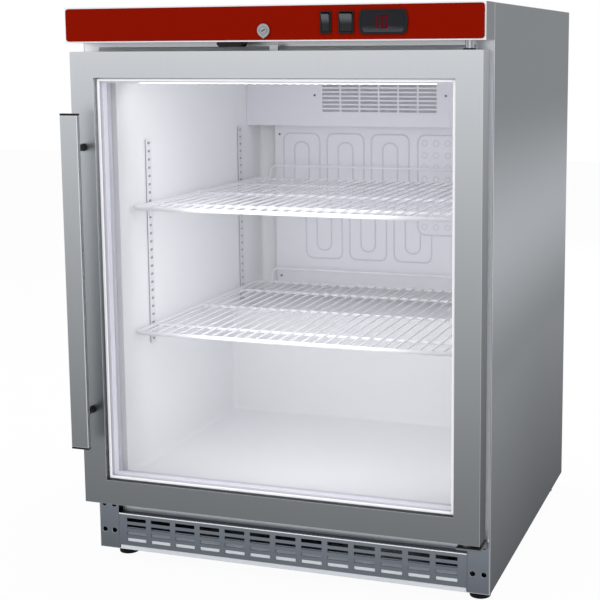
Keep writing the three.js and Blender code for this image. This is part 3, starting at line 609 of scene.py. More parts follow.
# -------------------- hinges and screws
# Two folded brackets carry upright pins, the top one in a chromed sleeve on a black washer. Small
# cross-head screws hold the brackets and most sheets. A moulded door sensor hangs beside them.
formed("hinge_bracket_top", 0.4 * MM, chrome)
formed("hinge_bracket_bottom", 0.4 * MM, casing_steel)
PIN_X, PIN_Y = 274 * MM, -266 * MM
KEEPER_RISE = 8.5 * MM
door_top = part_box("door_frame")[1].z - KEEPER_RISE
washer = bar("hinge_washer", "Z", 8.2 * MM, (PIN_X, PIN_Y, door_top + 0.15 * MM), 1.9 * MM, 40)
fitted(washer, gloss_black, 0.4 * MM)

fascia_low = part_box("fascia_housing")[0]
SENSOR_LEFT, SENSOR_RIGHT, SENSOR_DROP = -71 * MM, -34 * MM, 6.5 * MM
sensor = block(
    "door_sensor", (SENSOR_LEFT, fascia_low.y + 3 * MM, fascia_low.z - SENSOR_DROP),
    (SENSOR_RIGHT, fascia_low.y + 22 * MM, fascia_low.z),
)


def sensor_end(middle, fold):
    """The lower edges at the sensor's left and right ends."""
    aside = abs(middle.x - (SENSOR_LEFT + SENSOR_RIGHT) / 2)
    return middle.z < fascia_low.z - 6 * MM and aside > 15 * MM


bevelled(sensor, sensor_end, 3 * MM)
fitted(sensor, gloss_black, 0.5 * MM, 3)

SCREW_HEAD = 3.4 * MM
SCREW_RISE = 1.6 * MM


def screw_head():
    """A pan head with a cross recess, standing on the origin and facing -Y."""
    head = bar("screw", "Y", SCREW_HEAD, (0, 0.2 * MM, 0), -SCREW_RISE - 0.2 * MM, 20)
    bevelled(head, lambda middle, fold: middle.y < -SCREW_RISE + 0.01 * MM and fold > 1, 1.1 * MM, 3)
    reach, thin = 1.9 * MM, 0.42 * MM
    low, high = -SCREW_RISE - 0.5 * MM, -SCREW_RISE + 0.9 * MM
    cut_out(
        head,
        block("cutter", (-reach, low, -thin), (reach, high, thin)),
        block("cutter", (-thin, low, -reach), (thin, high, reach)),
    )
    alone(head)
    smooth(35)
    return head


screw_pattern = screw_head()
steel_screw = polished("steel_screw", colour(150, 153, 156), 0.3)


def screws(name, places, finish=steel_screw, size=1.0, facing=0):
    """Copies of the screw at these places, as one piece. Their crosses point different ways."""
    copies = []
    for index, place in enumerate(places):
        alone(screw_pattern)
        bpy.ops.object.duplicate()
        copy = bpy.context.object
        turn = Matrix.Rotation(radians(20 + 37 * index), 4, "Y")
        face = Matrix.Rotation(radians(facing), 4, "Z")
        copy.data.transform(Matrix.Translation(place) @ face @ turn @ Matrix.Scale(size, 4))
        copies.append(copy)
    return fitted(joined(name, copies), finish)


FLANGE_FACE = -240.3 * MM
FLANGE_HOLES = (267.5 * MM, 290.5 * MM)
for end, height in (("bottom", 93.2 * MM), ("top", 792 * MM)):
    screws(end + "_hinge_screws", [(x, FLANGE_FACE, height) for x in FLANGE_HOLES])
back_low, back_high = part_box("back_panel")
edge_x = back_high.x - 12 * MM
heights = [back_low.z + 14 * MM, (back_low.z + back_high.z) / 2, back_high.z - 14 * MM]
sunk_y = back_high.y - SCREW_RISE
back_places = [(x, sunk_y, z) for z in heights for x in (-edge_x, -edge_x / 3, edge_x / 3, edge_x)]
wells = [bar("well", "Y", SCREW_HEAD + 0.8 * MM, place, 3 * MM, 24) for place in back_places]
cut_out(back_sheet, joined("wells", wells))
screws("back_panel_screws", back_places, facing=180)

# -------------------- door
# The door's face is one pressed steel frame round a plastic inner frame. It holds two panes with a
# bright spacer between them, and a grey magnetic seal runs round its back.
# door steel: painted shade darkens it from top to bottom
door_steel = brushed_steel("door_steel", (214, 218, 222), (104, 108, 111), 0.34, 0.82, 1.6, 0.0, 0.3)
formed("door_frame", 0.7 * MM, door_steel, 2, edge_highlight_steel)
formed("door_inner_frame", 0.5 * MM, liner_white)
# painted light: the spacer is a pale non-metal, lightened against the shade of its cavity
painted_light_spacer = moulded("spacer_painted_light", colour(240, 240, 250), 0.3, Specular_IOR_Level=0.6)
formed("glass_spacer", 0.4 * MM, painted_light_spacer)
seal_white = moulded("seal_white", colour(214, 215, 224), 0.55)
gasket = formed("door_gasket", 2.0 * MM, seal_white, 3)
seal_dark = moulded("seal_dark", colour(58, 60, 66), 0.6)
gasket_low, gasket_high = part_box("door_gasket")
gasket_middle = (gasket_low + gasket_high) / 2
gasket_reach = (gasket_high - gasket_low) / 2


def outward(middle, normal):
    """The seal's outer side, which is dark."""
    across = (middle.x - gasket_middle.x) / gasket_reach.x
    up = (middle.z - gasket_middle.z) / gasket_reach.z
    return normal.x * across + normal.z * up > 0.3


paint(gasket, seal_dark, outward)
pane_low, pane_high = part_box("door_glass_outer")
BEAD_OUT, BEAD_IN = 9.4 * MM, 12.9 * MM
bead = block(
    "glazing_bead", (pane_low.x + BEAD_OUT, pane_low.y - 3 * MM, pane_low.z + BEAD_OUT),
    (pane_high.x - BEAD_OUT, pane_low.y - 0.1 * MM, pane_high.z - BEAD_OUT),
)
opening = block(
    "opening", (pane_low.x + BEAD_IN, pane_low.y - 4 * MM, pane_low.z + BEAD_IN),
    (pane_high.x - BEAD_IN, pane_low.y + 1 * MM, pane_high.z - BEAD_IN),
)
cut_out(bead, opening)
# painted light: the white bead glows faintly, though it is no lamp
glowing_bead_finish = moulded("bead_painted_glow", colour(250, 250, 252), 0.35, Emission_Strength=0.12)
fitted(bead, glowing_bead_finish, 0.8 * MM, body="door")


def clear_glass(name, mirror, tint):
    """Float glass: it passes light, and mirrors a little more of it at a slant."""
    finish = Finish(name, Base_Color=(1, 1, 1, 1), Metallic=1.0, Roughness=0.02)
    slant = finish.node("ShaderNodeLayerWeight", {}, {"Blend": 0.5}, "Facing")
    smear = noise(finish, (3.0, 3.0, 1.5), 2.0)
    share = finish.maths("POWER", slant, 5.0) * 0.6 + smear * mirror
    clear = finish.node("ShaderNodeBsdfTransparent", {}, {"Color": tint})
    finish.show(finish.node("ShaderNodeMixShader", {}, {0: share, 1: clear, 2: finish.plain}))
    return finish.material


glass = clear_glass("door_glass", 0.03, (0.995, 0.995, 0.995, 1.0))
for pane in ("door_glass_outer", "door_glass_inner"):
    formed(pane, 0.4 * MM, glass, 1)

# -------------------- handle
# A flat bar of brushed steel with moulded black end caps. It stands off the door's left stile on
# two black posts with a collar at each end, fixed by screws from inside the door.
handle_low, handle_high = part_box("door_handle")
BAR_DEEP = 8 * MM
CAP = 2.6 * MM
bar_back = handle_low.y + BAR_DEEP
handle_x = (handle_low.x + handle_high.x) / 2
pull_high = (handle_high.x, bar_back, handle_high.z - CAP)
pull = block("handle_bar", handle_low + Vector((0, 0, CAP)), pull_high)
round_edges(pull, 0.9 * MM, 2, edge_highlight=edge_highlight_steel)
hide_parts("door_handle")
# painted highlight: the bar's back face, towards the door and in its shade, gets the bright edge steel
paint(pull, edge_highlight_steel, lambda middle, normal: normal.y > 0.5)
fitted(pull, door_steel, body="door")
caps = []
for z in (handle_low.z, handle_high.z - CAP):
    caps.append(block("cap", (handle_low.x, handle_low.y, z), (handle_high.x, bar_back, z + CAP)))
fitted(joined("handle_caps", caps), gloss_black, 0.7 * MM, 3, body="door")
posts = []
POST_END = 49 * MM
POST_PARTS = ((4.6, 0.0, 31.7), (5.4, 0.0, 2.7), (5.4, 28.6, 2.7))    # radius, start, length
for z in (handle_low.z + POST_END, handle_high.z - POST_END):
    for radius, start, length in POST_PARTS:
        place = (handle_x, bar_back + start * MM, z)
        posts.append(bar("post", "Y", radius * MM, place, length * MM, 28))
fitted(joined("handle_posts", posts), gloss_black, 0.4 * MM, body="door")

# -------------------- plinth
# Two punched end plates and a louvred panel of brushed steel, fixed to the base. A hem runs along
# the panel, made bright by painted highlight, and above it the panel is folded back to a riser
# under the door, lightened by painted light against the door's shade.
# plinth steel: painted shade darkens it towards the floor
plinth_steel = brushed_steel("plinth_steel", (124, 130, 139), (90, 95, 102), 0.36, 0.12, 1.0)
for side in ("left", "right"):
    formed("plinth_plate_" + side, 0.35 * MM, plinth_steel, 2, edge_highlight_steel)
louvre = formed("louvre_panel", 0.3 * MM, plinth_steel)
louvre_low, louvre_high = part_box("louvre_panel")
hem_z = louvre_low.z + 49 * MM
HEM_INSET = 0.4 * MM
painted_light_riser_steel = brushed_steel("painted_light_riser_steel", (205, 208, 213), (192, 195, 200), 0.38)
# painted light: the riser above the hem is lightened against the shade under the door
paint(louvre, painted_light_riser_steel, lambda middle, normal: middle.z > hem_z + 1 * MM)
hem_start = (louvre_low.x + HEM_INSET, louvre_low.y + 0.7 * MM, hem_z - 0.4 * MM)
hem_long = louvre_high.x - louvre_low.x - 2 * HEM_INSET
# painted highlight: the hem's near-white steel
hem = bar("louvre_hem", "X", 1.2 * MM, hem_start, hem_long, 16)
fitted(hem, polished("hem_highlight_steel", colour(252, 253, 255), 0.25), 0.3 * MM)

# -------------------- base, feet and cord gland
# A zinc tray carries the machine, and a zinc guard stands behind the louvres, pale below and
# darker above as painted light and shade. Four black plastic feet screw into the cabinet, and a
# black gland in the tray's rear holds the mains cord.
formed("base_tray", 0.3 * MM, zinc)
tray_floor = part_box("base_tray")[0].z
painted_light_guard = Finish("painted_light_guard", Metallic=0.2)
mottle = noise(painted_light_guard, (60.0, 60.0, 200.0))
# painted light below and painted shade above, with a mottled edge between them
painted_shade_share = eased(painted_light_guard, along(painted_light_guard, "Z") + mottle * 0.004, 40 * MM, 48 * MM)
painted_light_guard.feed(
    Base_Color=mixed(painted_light_guard, painted_shade_share, colour(222, 226, 231), colour(124, 130, 138)),
    Roughness=mottle * 0.2 + 0.4,
)
guard = block(
    "louvre_guard", (louvre_low.x + 1 * MM, louvre_low.y + 1.22 * MM, tray_floor + 0.4 * MM),
    (louvre_high.x - 1 * MM, louvre_low.y + 1.45 * MM, louvre_low.z + 28.5 * MM),
)
fitted(guard, painted_light_guard.material, 0.05 * MM, 1)
foot_black = moulded("foot_black", colour(18, 18, 20), 0.6, Specular_IOR_Level=0.12)
for end in ("front", "rear"):
    for side in ("left", "right"):
        formed(f"foot_{end}_{side}", 0.8 * MM, foot_black, 3)
formed("mains_gland", 0.5 * MM, gloss_black)

# -------------------- pilasters and clips
# Four punched aluminium strips, lacquered white, are fixed upright to the liner's walls. Clips of
# coated wire hook into their slots, four to a shelf, and can be set at another height.
pilaster_finish = moulded("pilaster_white", colour(228, 230, 234), 0.35, 300.0, Specular_IOR_Level=0.4)
slot_shade = moulded("slot_shade", colour(168, 170, 177), 0.7)
SLOTS = 25
SLOT_BORDER = 4.4 * MM
STRIP_THICK = 1.1 * MM


def pilaster(node, sign):
    """A strip whose cells are inset and opened into slots, then given its thickness."""
    low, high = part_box(node)
    face_x, back_x = (low.x, high.x) if sign > 0 else (high.x, low.x)
    middle = Vector((face_x, (low.y + high.y) / 2, (low.z + high.z) / 2))
    strip = begin(
        node + "_strip", bpy.ops.mesh.primitive_grid_add, (high.z - low.z, high.y - low.y, 1),
        x_subdivisions=SLOTS, y_subdivisions=1, size=1, location=middle,
        rotation=(0, radians(-90 * sign), 0),
    )
    bpy.ops.object.mode_set(mode="EDIT")
    bpy.ops.mesh.select_all(action="SELECT")
    bpy.ops.mesh.inset(thickness=SLOT_BORDER, use_individual=True)
    bpy.ops.mesh.delete(type="FACE")
    bpy.ops.mesh.select_all(action="SELECT")
    bpy.ops.mesh.extrude_region_move(TRANSFORM_OT_translate={"value": (STRIP_THICK * sign, 0, 0)})
    bpy.ops.mesh.select_all(action="SELECT")
    bpy.ops.mesh.normals_make_consistent(inside=False)
    bpy.ops.object.mode_set(mode="OBJECT")
    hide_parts(node)
    fitted(strip, pilaster_finish, 0.25 * MM)
    left, right = sorted((back_x, back_x - sign * 0.4 * MM))
    back = block(
        node + "_channel", (left, low.y + 1 * MM, low.z + 1 * MM),
        (right, high.y - 1 * MM, high.z - 1 * MM),
    )
    fitted(back, slot_shade, 0.1 * MM, 1)


coat_white = moulded("coat_white", colour(232, 232, 237), 0.3, 400.0, Specular_IOR_Level=0.3)
for side, sign in (("left", -1), ("right", 1)):
    for end in ("front", "rear"):
        pilaster(f"pilaster_{end}_{side}", sign)
        for level in ("upper", "lower"):
            formed(f"shelf_clip_{level}_{end}_{side}", 0.35 * MM, coat_white)

# -------------------- wire shelves
# Each shelf is a bent rod with three cross rods and twenty-seven wires welded on, plus a raised
# wire at the back that stops goods, all dipped in white plastic.


def bent_rod(name, corners, bend, thick, closed=False, sides=3):
    """A rod through these corners: a chain of points, its corners rounded, given a round section."""
    rod = begin(name, bpy.ops.mesh.primitive_plane_add, size=1)
    bpy.context.tool_settings.mesh_select_mode = (True, False, False)
    bpy.ops.object.mode_set(mode="EDIT")
    bpy.ops.mesh.select_all(action="SELECT")
    bpy.ops.mesh.merge(type="CENTER")
    bpy.ops.transform.translate(value=corners[0])
    for start, end in zip(corners, corners[1:]):
        step = Vector(end) - Vector(start)
        bpy.ops.mesh.extrude_region_move(TRANSFORM_OT_translate={"value": step})
    mesh = bmesh.from_edit_mesh(rod.data)
    ends = [vertex for vertex in mesh.verts if len(vertex.link_edges) == 1]
    for vertex in mesh.verts:
        vertex.select_set(vertex in ends)
    mesh.select_flush_mode()
    bmesh.update_edit_mesh(rod.data)
    if closed:
        bpy.ops.mesh.edge_face_add()
        bpy.ops.mesh.select_all(action="SELECT")
    else:
        bpy.ops.mesh.select_all(action="INVERT")
    if bend:
        bpy.ops.mesh.bevel(affect="VERTICES", offset=bend, segments=6)
    bpy.ops.object.mode_set(mode="OBJECT")
    bpy.ops.object.convert(target="CURVE")
    rod.data.bevel_depth = thick / 2
    rod.data.bevel_resolution = sides
    rod.data.use_fill_caps = True
    bpy.ops.object.convert(target="MESH")
    settle(rod, name)
    smooth(50)
    return rod


def repeated(piece, count, step):
    """The piece repeated along X, this many times and this far apart."""
    alone(piece)
    row = piece.modifiers.new("row", "ARRAY")
    row.count = count
    row.use_relative_offset = False
    row.use_constant_offset = True
    row.constant_offset_displace = (step, 0, 0)
    bpy.ops.object.modifier_apply(modifier=row.name)
    return piece


RIM = 6 * MM
CROSS = 4.4 * MM
WIRE = 3 * MM
WIRES = 27
WIRE_PITCH = 17.4 * MM
WIRE_RISE = 1.35 * MM
STOP = 4 * MM
STOP_INSET = 32 * MM
CROSS_PLACES = (-149 * MM, 12 * MM, 160 * MM)
for level in ("upper", "lower"):
    low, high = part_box("shelf_" + level)
    mid_z = low.z + RIM / 2
    x, front, rear = high.x - RIM / 2, low.y + RIM / 2, high.y - RIM / 2
    outline = [(-x, front, mid_z), (x, front, mid_z), (x, rear, mid_z), (-x, rear, mid_z)]
    rods = [bent_rod("rim", outline, 11 * MM, RIM, True)]
    for y in CROSS_PLACES:
        rods.append(bar("cross", "X", CROSS / 2, (-x, y, low.z + CROSS / 2), 2 * x, 12))
    wire_start = (-(WIRES // 2) * WIRE_PITCH, front, mid_z + WIRE_RISE)
    wire = bar("wire", "Y", WIRE / 2, wire_start, rear - front, 10)
    rods.append(repeated(wire, WIRES, WIRE_PITCH))
    stop_x, top = high.x - STOP_INSET, high.z - STOP / 2
    stop = [(-stop_x, rear, mid_z), (-stop_x, rear, top), (stop_x, rear, top), (stop_x, rear, mid_z)]
    rods.append(bent_rod("stop", stop, 12 * MM, STOP))
    shelf = joined(f"shelf_{level}_wires", rods)
    smooth(50)
    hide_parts("shelf_" + level)
    fitted(shelf, coat_white, body=level + "_shelf")

# -------------------- evaporator
# A roll-bonded aluminium plate in white lacquer: its channel is blown up between two sheets in
# nested loops, with a field of dimples at the right.
plate_white = moulded("plate_white", colour(230, 230, 236), 0.4, Specular_IOR_Level=0.3)
formed("evaporator_plate", 0.4 * MM, plate_white)
plate_low, plate_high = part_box("evaporator_plate")
plate_face = plate_low.y
LOOP_PITCH = 82 * MM
OUTER, INNER, INNER_DROP = 34 * MM, 13.5 * MM, 15 * MM
JOG = OUTER + INNER - LOOP_PITCH / 2
LOOP_TOP, LOOP_FOOT = 614 * MM, 392 * MM
MIDDLE_HIGH, MIDDLE_LOW = 508 * MM, 492 * MM
FIELD_FOOT = 441 * MM
FIRST_X = -162 * MM
BEAD, BEAD_SINK = 3.4 * MM, 0.9 * MM
beads = []


def blow_up(path, bend=12.5 * MM, closed=False):
    """Raises the channel along these places on the plate's face."""
    corners = [(x, plate_face, z) for x, z in path]
    beads.append(bent_rod("bead", corners, bend, BEAD, closed, 2))


for index in range(3):
    top_x = FIRST_X + index * LOOP_PITCH
    foot_x = top_x + LOOP_PITCH / 2
    for reach, drop in ((OUTER, 0.0), (INNER, INNER_DROP)):
        left, right = top_x - reach, top_x + reach
        z = LOOP_TOP - drop
        blow_up([(left, MIDDLE_HIGH), (left, z), (right, z), (right, MIDDLE_HIGH)])
        left, right = foot_x - reach, foot_x + reach
        z = LOOP_FOOT + drop
        arch = [(left + JOG, MIDDLE_HIGH), (left, MIDDLE_LOW), (left, z), (right, z)]
        if index < 2:
            arch += [(right, MIDDLE_LOW), (right - JOG, MIDDLE_HIGH)]
        else:
            arch.append((right, FIELD_FOOT))
        blow_up(arch)
field_left, field_right = 52 * MM, 204 * MM
field = [(field_left, FIELD_FOOT), (field_left, LOOP_TOP), (field_right, LOOP_TOP)]
blow_up([*field, (field_right, FIELD_FOOT)], 14 * MM, True)
DIMPLE_PITCH = 20.7 * MM
dimple_x, dimple_z = field_left + 12 * MM, LOOP_TOP - 14 * MM
for column in range(7):
    for step in range(8):
        place = (dimple_x + column * DIMPLE_PITCH, plate_face, dimple_z - step * DIMPLE_PITCH)
        beads.append(ring("dimple", place, 4.8 * MM, 1.3 * MM, 18, 6))
channel = joined("evaporator_channel", beads)
smooth(50)
channel.data.transform(Matrix.Translation((0, BEAD_SINK, 0)))
# painted shade: the raised channel is greyer than the plate, standing in for shade along its sides
painted_shade_channel = moulded("painted_shade_channel", colour(210, 210, 219), 0.4, Specular_IOR_Level=0.3)
fitted(channel, painted_shade_channel)
dark_screw = polished("dark_screw", colour(96, 98, 104), 0.35)
SMALL_SCREW = 0.6
plate_places = [(x, plate_face, z) for x in (plate_low.x + 9 * MM, plate_high.x - 9 * MM)
                for z in (plate_low.z + 12 * MM, 612 * MM)]
screws("evaporator_screws", plate_places, dark_screw, SMALL_SCREW)

# -------------------- fan duct cover
# A cover of folded white sheet, screwed under the ceiling, hides the fan. Air leaves by its punched
# grille, behind which a grey woven screen stands in for the duct's shaded inside as painted shade.
cover_white = moulded("cover_white", colour(222, 222, 230), 0.4, Specular_IOR_Level=0.3)
formed("fan_duct_cover", 0.35 * MM, cover_white)
duct_low, duct_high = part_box("fan_duct_cover")
duct_screw_z = duct_high.z - 57 * MM
duct_places = [(x, duct_low.y, duct_screw_z) for x in (-122 * MM, 112 * MM)]
screws("duct_screws", duct_places, dark_screw, SMALL_SCREW)
# painted shade: a grey woven sheet put where the duct's shaded inside shows through the grille
painted_shade_screen = Finish("painted_shade_screen", Specular_IOR_Level=0.2)
WEAVE = 2 * pi / (1.6 * MM)
OPEN_ABOVE = 0.45
across = painted_shade_screen.maths("SINE", along(painted_shade_screen, "X") * WEAVE)
weave = across * painted_shade_screen.maths("SINE", along(painted_shade_screen, "Z") * WEAVE)
painted_shade_screen.feed(
    Base_Color=mixed(painted_shade_screen, weave * 0.5 + 0.5, colour(186, 187, 193), colour(168, 169, 176)),
    Roughness=weave * 0.1 + 0.5,
    Alpha=painted_shade_screen.maths("LESS_THAN", weave, OPEN_ABOVE),
)
screen = block(
    "duct_screen", (-116 * MM, duct_low.y + 1.25 * MM, duct_low.z + 12 * MM),
    (106 * MM, duct_low.y + 1.42 * MM, duct_high.z - 3 * MM),
)
fitted(screen, painted_shade_screen.material, 0.04 * MM, 1)

# -------------------- lamp
# A strip of light diodes under the ceiling's front edge: a moulded white housing, and a clear lens
# clipped into it, whose lower edge is ribbed to spread the light.
formed("lamp_housing", 0.5 * MM, liner_white)
lens_finish = Finish("lit_lens", Roughness=0.3, Emission_Strength=2.5)
lens_place = noise(lens_finish, (60.0, 0.0, 0.0), 0.0)
lens_finish.feed(
    Base_Color=mixed(lens_finish, lens_place, colour(250, 250, 252), colour(255, 255, 255)),
    Emission_Color=mixed(lens_finish, lens_place, colour(255, 253, 250), colour(255, 255, 255)),
)
formed("lamp_diffuser", 0.2 * MM, lens_finish.material)
lens_low, lens_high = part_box("lamp_diffuser")
RIB, RIB_PITCH = 6 * MM, 13 * MM
rib_start = (lens_low.x + 4 * MM, (lens_low.y + lens_high.y) / 2, lens_low.z + 5 * MM)
rib = bar("lamp_ribs", "X", 5.6 * MM, rib_start, RIB, 24)
round_edges(rib, 2.2 * MM, 3)
repeated(rib, int((lens_high.x - lens_low.x - 8 * MM) / RIB_PITCH), RIB_PITCH)
fitted(rib, lens_finish.material)

# -------------------- fans
# Both fans have a square frame with a motor on four struts, and pitched blades on a hub that the
# motor's shaft carries: moulded grey plastic inside, enamelled steel and aluminium at the back.
fan_black = moulded("fan_black", colour(30, 31, 34), 0.45)
enamel = moulded("black_enamel", colour(24, 25, 27), 0.3, 200.0, 0.0001, Specular_IOR_Level=0.6)
bare_aluminium = polished("bare_aluminium", colour(190, 194, 198), 0.35)
fan_grey = moulded("fan_grey", colour(176, 177, 184), 0.45, Specular_IOR_Level=0.2)
formed("evaporator_fan_frame", 0.4 * MM, fan_grey)
formed("evaporator_fan_blade", 0.3 * MM, fan_grey)
formed("condenser_fan_frame", 0.5 * MM, enamel)
formed("condenser_fan_blade", 0.3 * MM, bare_aluminium)

# -------------------- machine
# The refrigeration machine in the open bay at the back: a finned condenser behind its fan, a
# hermetic compressor on a mounting plate, copper pipes, and the tray that catches defrost water.
coil_low, coil_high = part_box("condenser")
END_PLATE, BEND = 1 * MM, 9 * MM
FIN_PITCH, FIN_THICK, FIN_START = 4 * MM, 0.4 * MM, 3 * MM
fins_from, fins_to = coil_low.x + BEND, coil_high.x - BEND
fin_x = fins_from + FIN_START
fin = block("fin", (fin_x, coil_low.y + 1 * MM, coil_low.z + 2 * MM),
            (fin_x + FIN_THICK, coil_high.y - 1 * MM, coil_high.z - 2 * MM))


def fin_end(middle, fold):
    """The edges at the fin's foot and top."""
    return middle.z < coil_low.z + 3 * MM or middle.z > coil_high.z - 3 * MM


bevelled(fin, fin_end, 0.15 * MM)
coil_parts = [repeated(fin, int((fins_to - fins_from - 2 * FIN_START) / FIN_PITCH), FIN_PITCH)]
for x in (fins_from, fins_to - END_PLATE):
    coil_parts.append(block("end", (x, *coil_low.yz), (x + END_PLATE, *coil_high.yz)))
coil = joined("condenser_fins", coil_parts)
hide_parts("condenser")
fitted(coil, enamel)
TUBE = 8 * MM
TUBE_PITCH = 30 * MM
LANE_INSET = 13 * MM
tube_ends = (coil_low.x + TUBE / 2, coil_high.x - TUBE / 2)
tubes = []
for y in (coil_low.y + LANE_INSET, coil_high.y - LANE_INSET):
    lane = []
    for index in range(6):
        z = coil_low.z + 20 * MM + index * TUBE_PITCH
        lane += [(x, y, z) for x in (tube_ends if index % 2 else tube_ends[::-1])]
    tubes.append(bent_rod("tube", lane, 12 * MM, TUBE, False, 2))
fitted(joined("condenser_tubes", tubes), enamel)

shell_low, shell_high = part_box("compressor")
shell_x, shell_y = 150 * MM, 253.5 * MM
SHELL_WIDE, SHELL_DEEP = 76 * MM, 54 * MM
SEAM = 2.2 * MM
BED = 3 * MM


def oval(name, wide, deep, low_z, high_z):
    """An upright cylinder of oval outline round the compressor's middle line."""
    return begin(
        name, bpy.ops.mesh.primitive_cylinder_add, (1, deep / wide, 1), vertices=64, radius=wide,
        depth=high_z - low_z, location=(shell_x, shell_y, (low_z + high_z) / 2),
    )


def sharp(middle, fold):
    """Any edge that folds by more than a radian."""
    return abs(fold) > 1


shell = oval("compressor_shell", SHELL_WIDE, SHELL_DEEP, shell_low.z + 4 * MM, shell_high.z)
bevelled(shell, sharp, 40 * MM, 10)
smooth(40)
seam_z = shell_low.z + 92 * MM
seam_wide, seam_deep = SHELL_WIDE + SEAM, SHELL_DEEP + SEAM
seam = oval("compressor_seam", seam_wide, seam_deep, seam_z - 2.5 * MM, seam_z + 2.5 * MM)
round_edges(seam, 1.6 * MM, 3)
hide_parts("compressor")
fitted(joined("compressor_shell", [shell, seam]), enamel)
FOOT_X, FOOT_Y = 88 * MM, 43 * MM
bed_x, bed_y = FOOT_X + 14 * MM, FOOT_Y + 12 * MM
bed = block("compressor_bed", (shell_x - bed_x, shell_y - bed_y, shell_low.z),
            (shell_x + bed_x, shell_y + bed_y, shell_low.z + BED))
bevelled(bed, lambda middle, fold: abs(middle.z - shell_low.z - BED / 2) < 0.1 * MM, 12 * MM, 5)
fitted(bed, enamel, 0.5 * MM)
grommets = []
for x in (-FOOT_X, FOOT_X):
    for y in (-FOOT_Y, FOOT_Y):
        place = (shell_x + x, shell_y + y, shell_low.z + BED)
        grommets.append(bar("grommet", "Z", 8 * MM, place, 9 * MM, 24))
        grommets.append(bar("bolt", "Z", 3 * MM, place, 13 * MM, 6))
rubber_black = moulded("rubber_black", colour(34, 34, 36), 0.7)
grommets = joined("compressor_grommets", grommets)
fitted(grommets, rubber_black, 0.8 * MM)
cover = block("terminal_cover", (shell_x - 96 * MM, shell_y - 24 * MM, shell_low.z + 46 * MM),
              (shell_x - 68 * MM, shell_y + 24 * MM, shell_low.z + 104 * MM))
fitted(cover, fan_black, 4 * MM, 4)

copper = polished("copper", colour(196, 120, 84), 0.3)
PIPE, SUCTION, CAPILLARY = 6.4 * MM, 8 * MM, 2.6 * MM
BAY_ROOF = 277 * MM
pipes = []


def pipe(name, corners, bend, thick=PIPE):
    """A bent copper pipe through these corners."""
    pipes.append(bent_rod(name, corners, bend, thick))


suction_x, suction_y = shell_x - 120 * MM, shell_y - 22 * MM
discharge_x, discharge_y = shell_x - 140 * MM, shell_y + 8 * MM
suction_z = shell_low.z + 122 * MM
discharge_z = suction_z - 14 * MM
hot_end = (tube_ends[1], coil_low.y + LANE_INSET, coil_low.z + 170 * MM)
pipe("suction", [
    (shell_x - 56 * MM, suction_y, suction_z), (suction_x, suction_y, suction_z),
    (suction_x, suction_y, BAY_ROOF),
], 16 * MM, SUCTION)
pipe("discharge", [
    (shell_x - 60 * MM, discharge_y, discharge_z), (discharge_x, discharge_y, discharge_z),
    (discharge_x, discharge_y, hot_end[2]), hot_end,
], 14 * MM)
drier_x, drier_y = coil_high.x + 34 * MM, coil_high.y - LANE_INSET
drier_low, drier_high = 96 * MM, 196 * MM
cold_z = coil_low.z + 20 * MM
pipe("liquid", [
    (tube_ends[1], drier_y, cold_z), (drier_x, drier_y, cold_z),
    (drier_x, drier_y, drier_low + 4 * MM),
], 14 * MM)
capillary_x, capillary_z = drier_x + 16 * MM, drier_high + 22 * MM
pipe("capillary", [
    (drier_x, drier_y, drier_high - 4 * MM), (drier_x, drier_y, capillary_z),
    (capillary_x, drier_y, capillary_z), (capillary_x, drier_y, BAY_ROOF),
], 7 * MM, CAPILLARY)
drier = bar("drier", "Z", 9 * MM, (drier_x, drier_y, drier_low), drier_high - drier_low, 32)
bevelled(drier, sharp, 7 * MM, 5)
smooth(40)
pipes.append(drier)
fitted(joined("copper_pipes", pipes), copper)
formed("drip_tray", 0.6 * MM, fan_black)

# -------------------- studio
# A pale floor and an even pale surround, four soft lamps round the object and two for its chamber,
# and a camera a little above and to the right.


def seen(nodes):
    """A share of 1 for rays from the camera, mirrors and glass."""
    camera_ray, glossy_ray, glass_ray = [
        nodes.node("ShaderNodeLightPath", {}, {}, f"Is {kind} Ray")
        for kind in ("Camera", "Glossy", "Transmission")
    ]
    return nodes.maths("MAXIMUM", nodes.maths("MAXIMUM", camera_ray, glossy_ray), glass_ray)


world = bpy.data.worlds.new("studio")
bpy.context.scene.world = world
world.use_nodes = True
world.node_tree.nodes.remove(world.node_tree.nodes["Background"])
sky = Nodes(world.node_tree)
ambient = sky.node("ShaderNodeBackground", {}, {"Color": (0.97, 0.98, 1.0, 1.0), "Strength": 0.68})
backdrop = sky.node("ShaderNodeBackground", {}, {"Color": (1, 1, 1, 1), "Strength": 1.0})
surround = sky.node("ShaderNodeMixShader", {}, {0: seen(sky), 1: ambient, 2: backdrop})
sky.show(surround, "World Output")

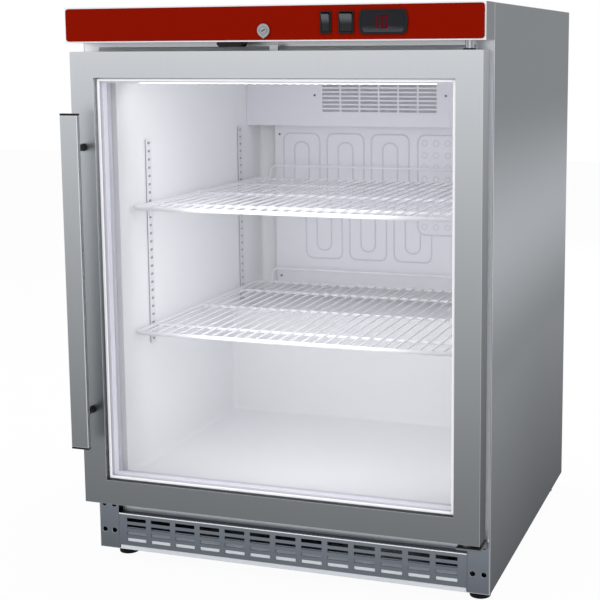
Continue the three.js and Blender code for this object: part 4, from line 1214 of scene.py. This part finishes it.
floor = begin("studio_floor", bpy.ops.mesh.primitive_plane_add, size=14)
pale = Finish("floor_white", Base_Color=(0.8, 0.8, 0.8, 1.0), Roughness=1.0, Specular_IOR_Level=0.0)
glow = pale.node("ShaderNodeEmission", {}, {"Strength": 1.0})
pale.show(pale.node("ShaderNodeMixShader", {}, {0: seen(pale) * 0.95, 1: pale.plain, 2: glow}))
floor.data.materials.append(pale.material)


def soft_lamp(name, place, aim, size, power):
    """A lamp with this size in metres and power in watts. Mirrors don't show it."""
    light = bpy.data.lights.new(name, "AREA")
    light.shape = "RECTANGLE"
    light.size, light.size_y = size
    light.energy = power
    lamp = bpy.data.objects.new(name, light)
    bpy.context.scene.collection.objects.link(lamp)
    lamp.location = place
    lamp.rotation_euler = (Vector(aim) - Vector(place)).to_track_quat("-Z", "Y").to_euler()
    lamp.visible_glossy = False


soft_lamp("key_lamp", (-1.6, -2.4, 2.3), (0, 0, 0.4), (2.6, 2.6), 34)
soft_lamp("fill_lamp", (2.4, -1.8, 1.6), (0, 0, 0.4), (1.8, 1.8), 22)
soft_lamp("top_lamp", (0.2, 0.6, 2.6), (0, 0.1, 0.5), (1.6, 1.6), 22)
soft_lamp("rear_lamp", (0.6, 2.8, 1.4), (0, 0, 0.4), (1.8, 1.4), 26)
soft_lamp("shelf_lamp", (0, -0.216, 0.712), (0, 0.05, 0.35), (0.43, 0.012), 0.15)
soft_lamp("chamber_lamp", (0, -0.262, 0.45), (0, 0.3, 0.36), (0.28, 0.4), 0.78)

camera = bpy.data.objects.new("camera", bpy.data.cameras.new("camera"))
bpy.context.scene.collection.objects.link(camera)
camera.location = (0.683, -1.924, 0.761)
YAW, PITCH, ROLL = radians(18.59), radians(8.21), radians(-0.32)
aimed = Matrix.Rotation(YAW, 3, "Z") @ Matrix.Rotation(pi / 2 - PITCH, 3, "X")
camera.rotation_euler = (aimed @ Matrix.Rotation(ROLL, 3, "Z")).to_euler()
camera.data.sensor_width = 36
camera.data.lens = 79.38
camera.data.shift_x = -0.10
camera.data.shift_y = -0.10
camera.data.clip_start = 0.05
bpy.context.scene.camera = camera
bpy.context.scene.view_settings.view_transform = "Standard"

bpy.data.objects.remove(screw_pattern)
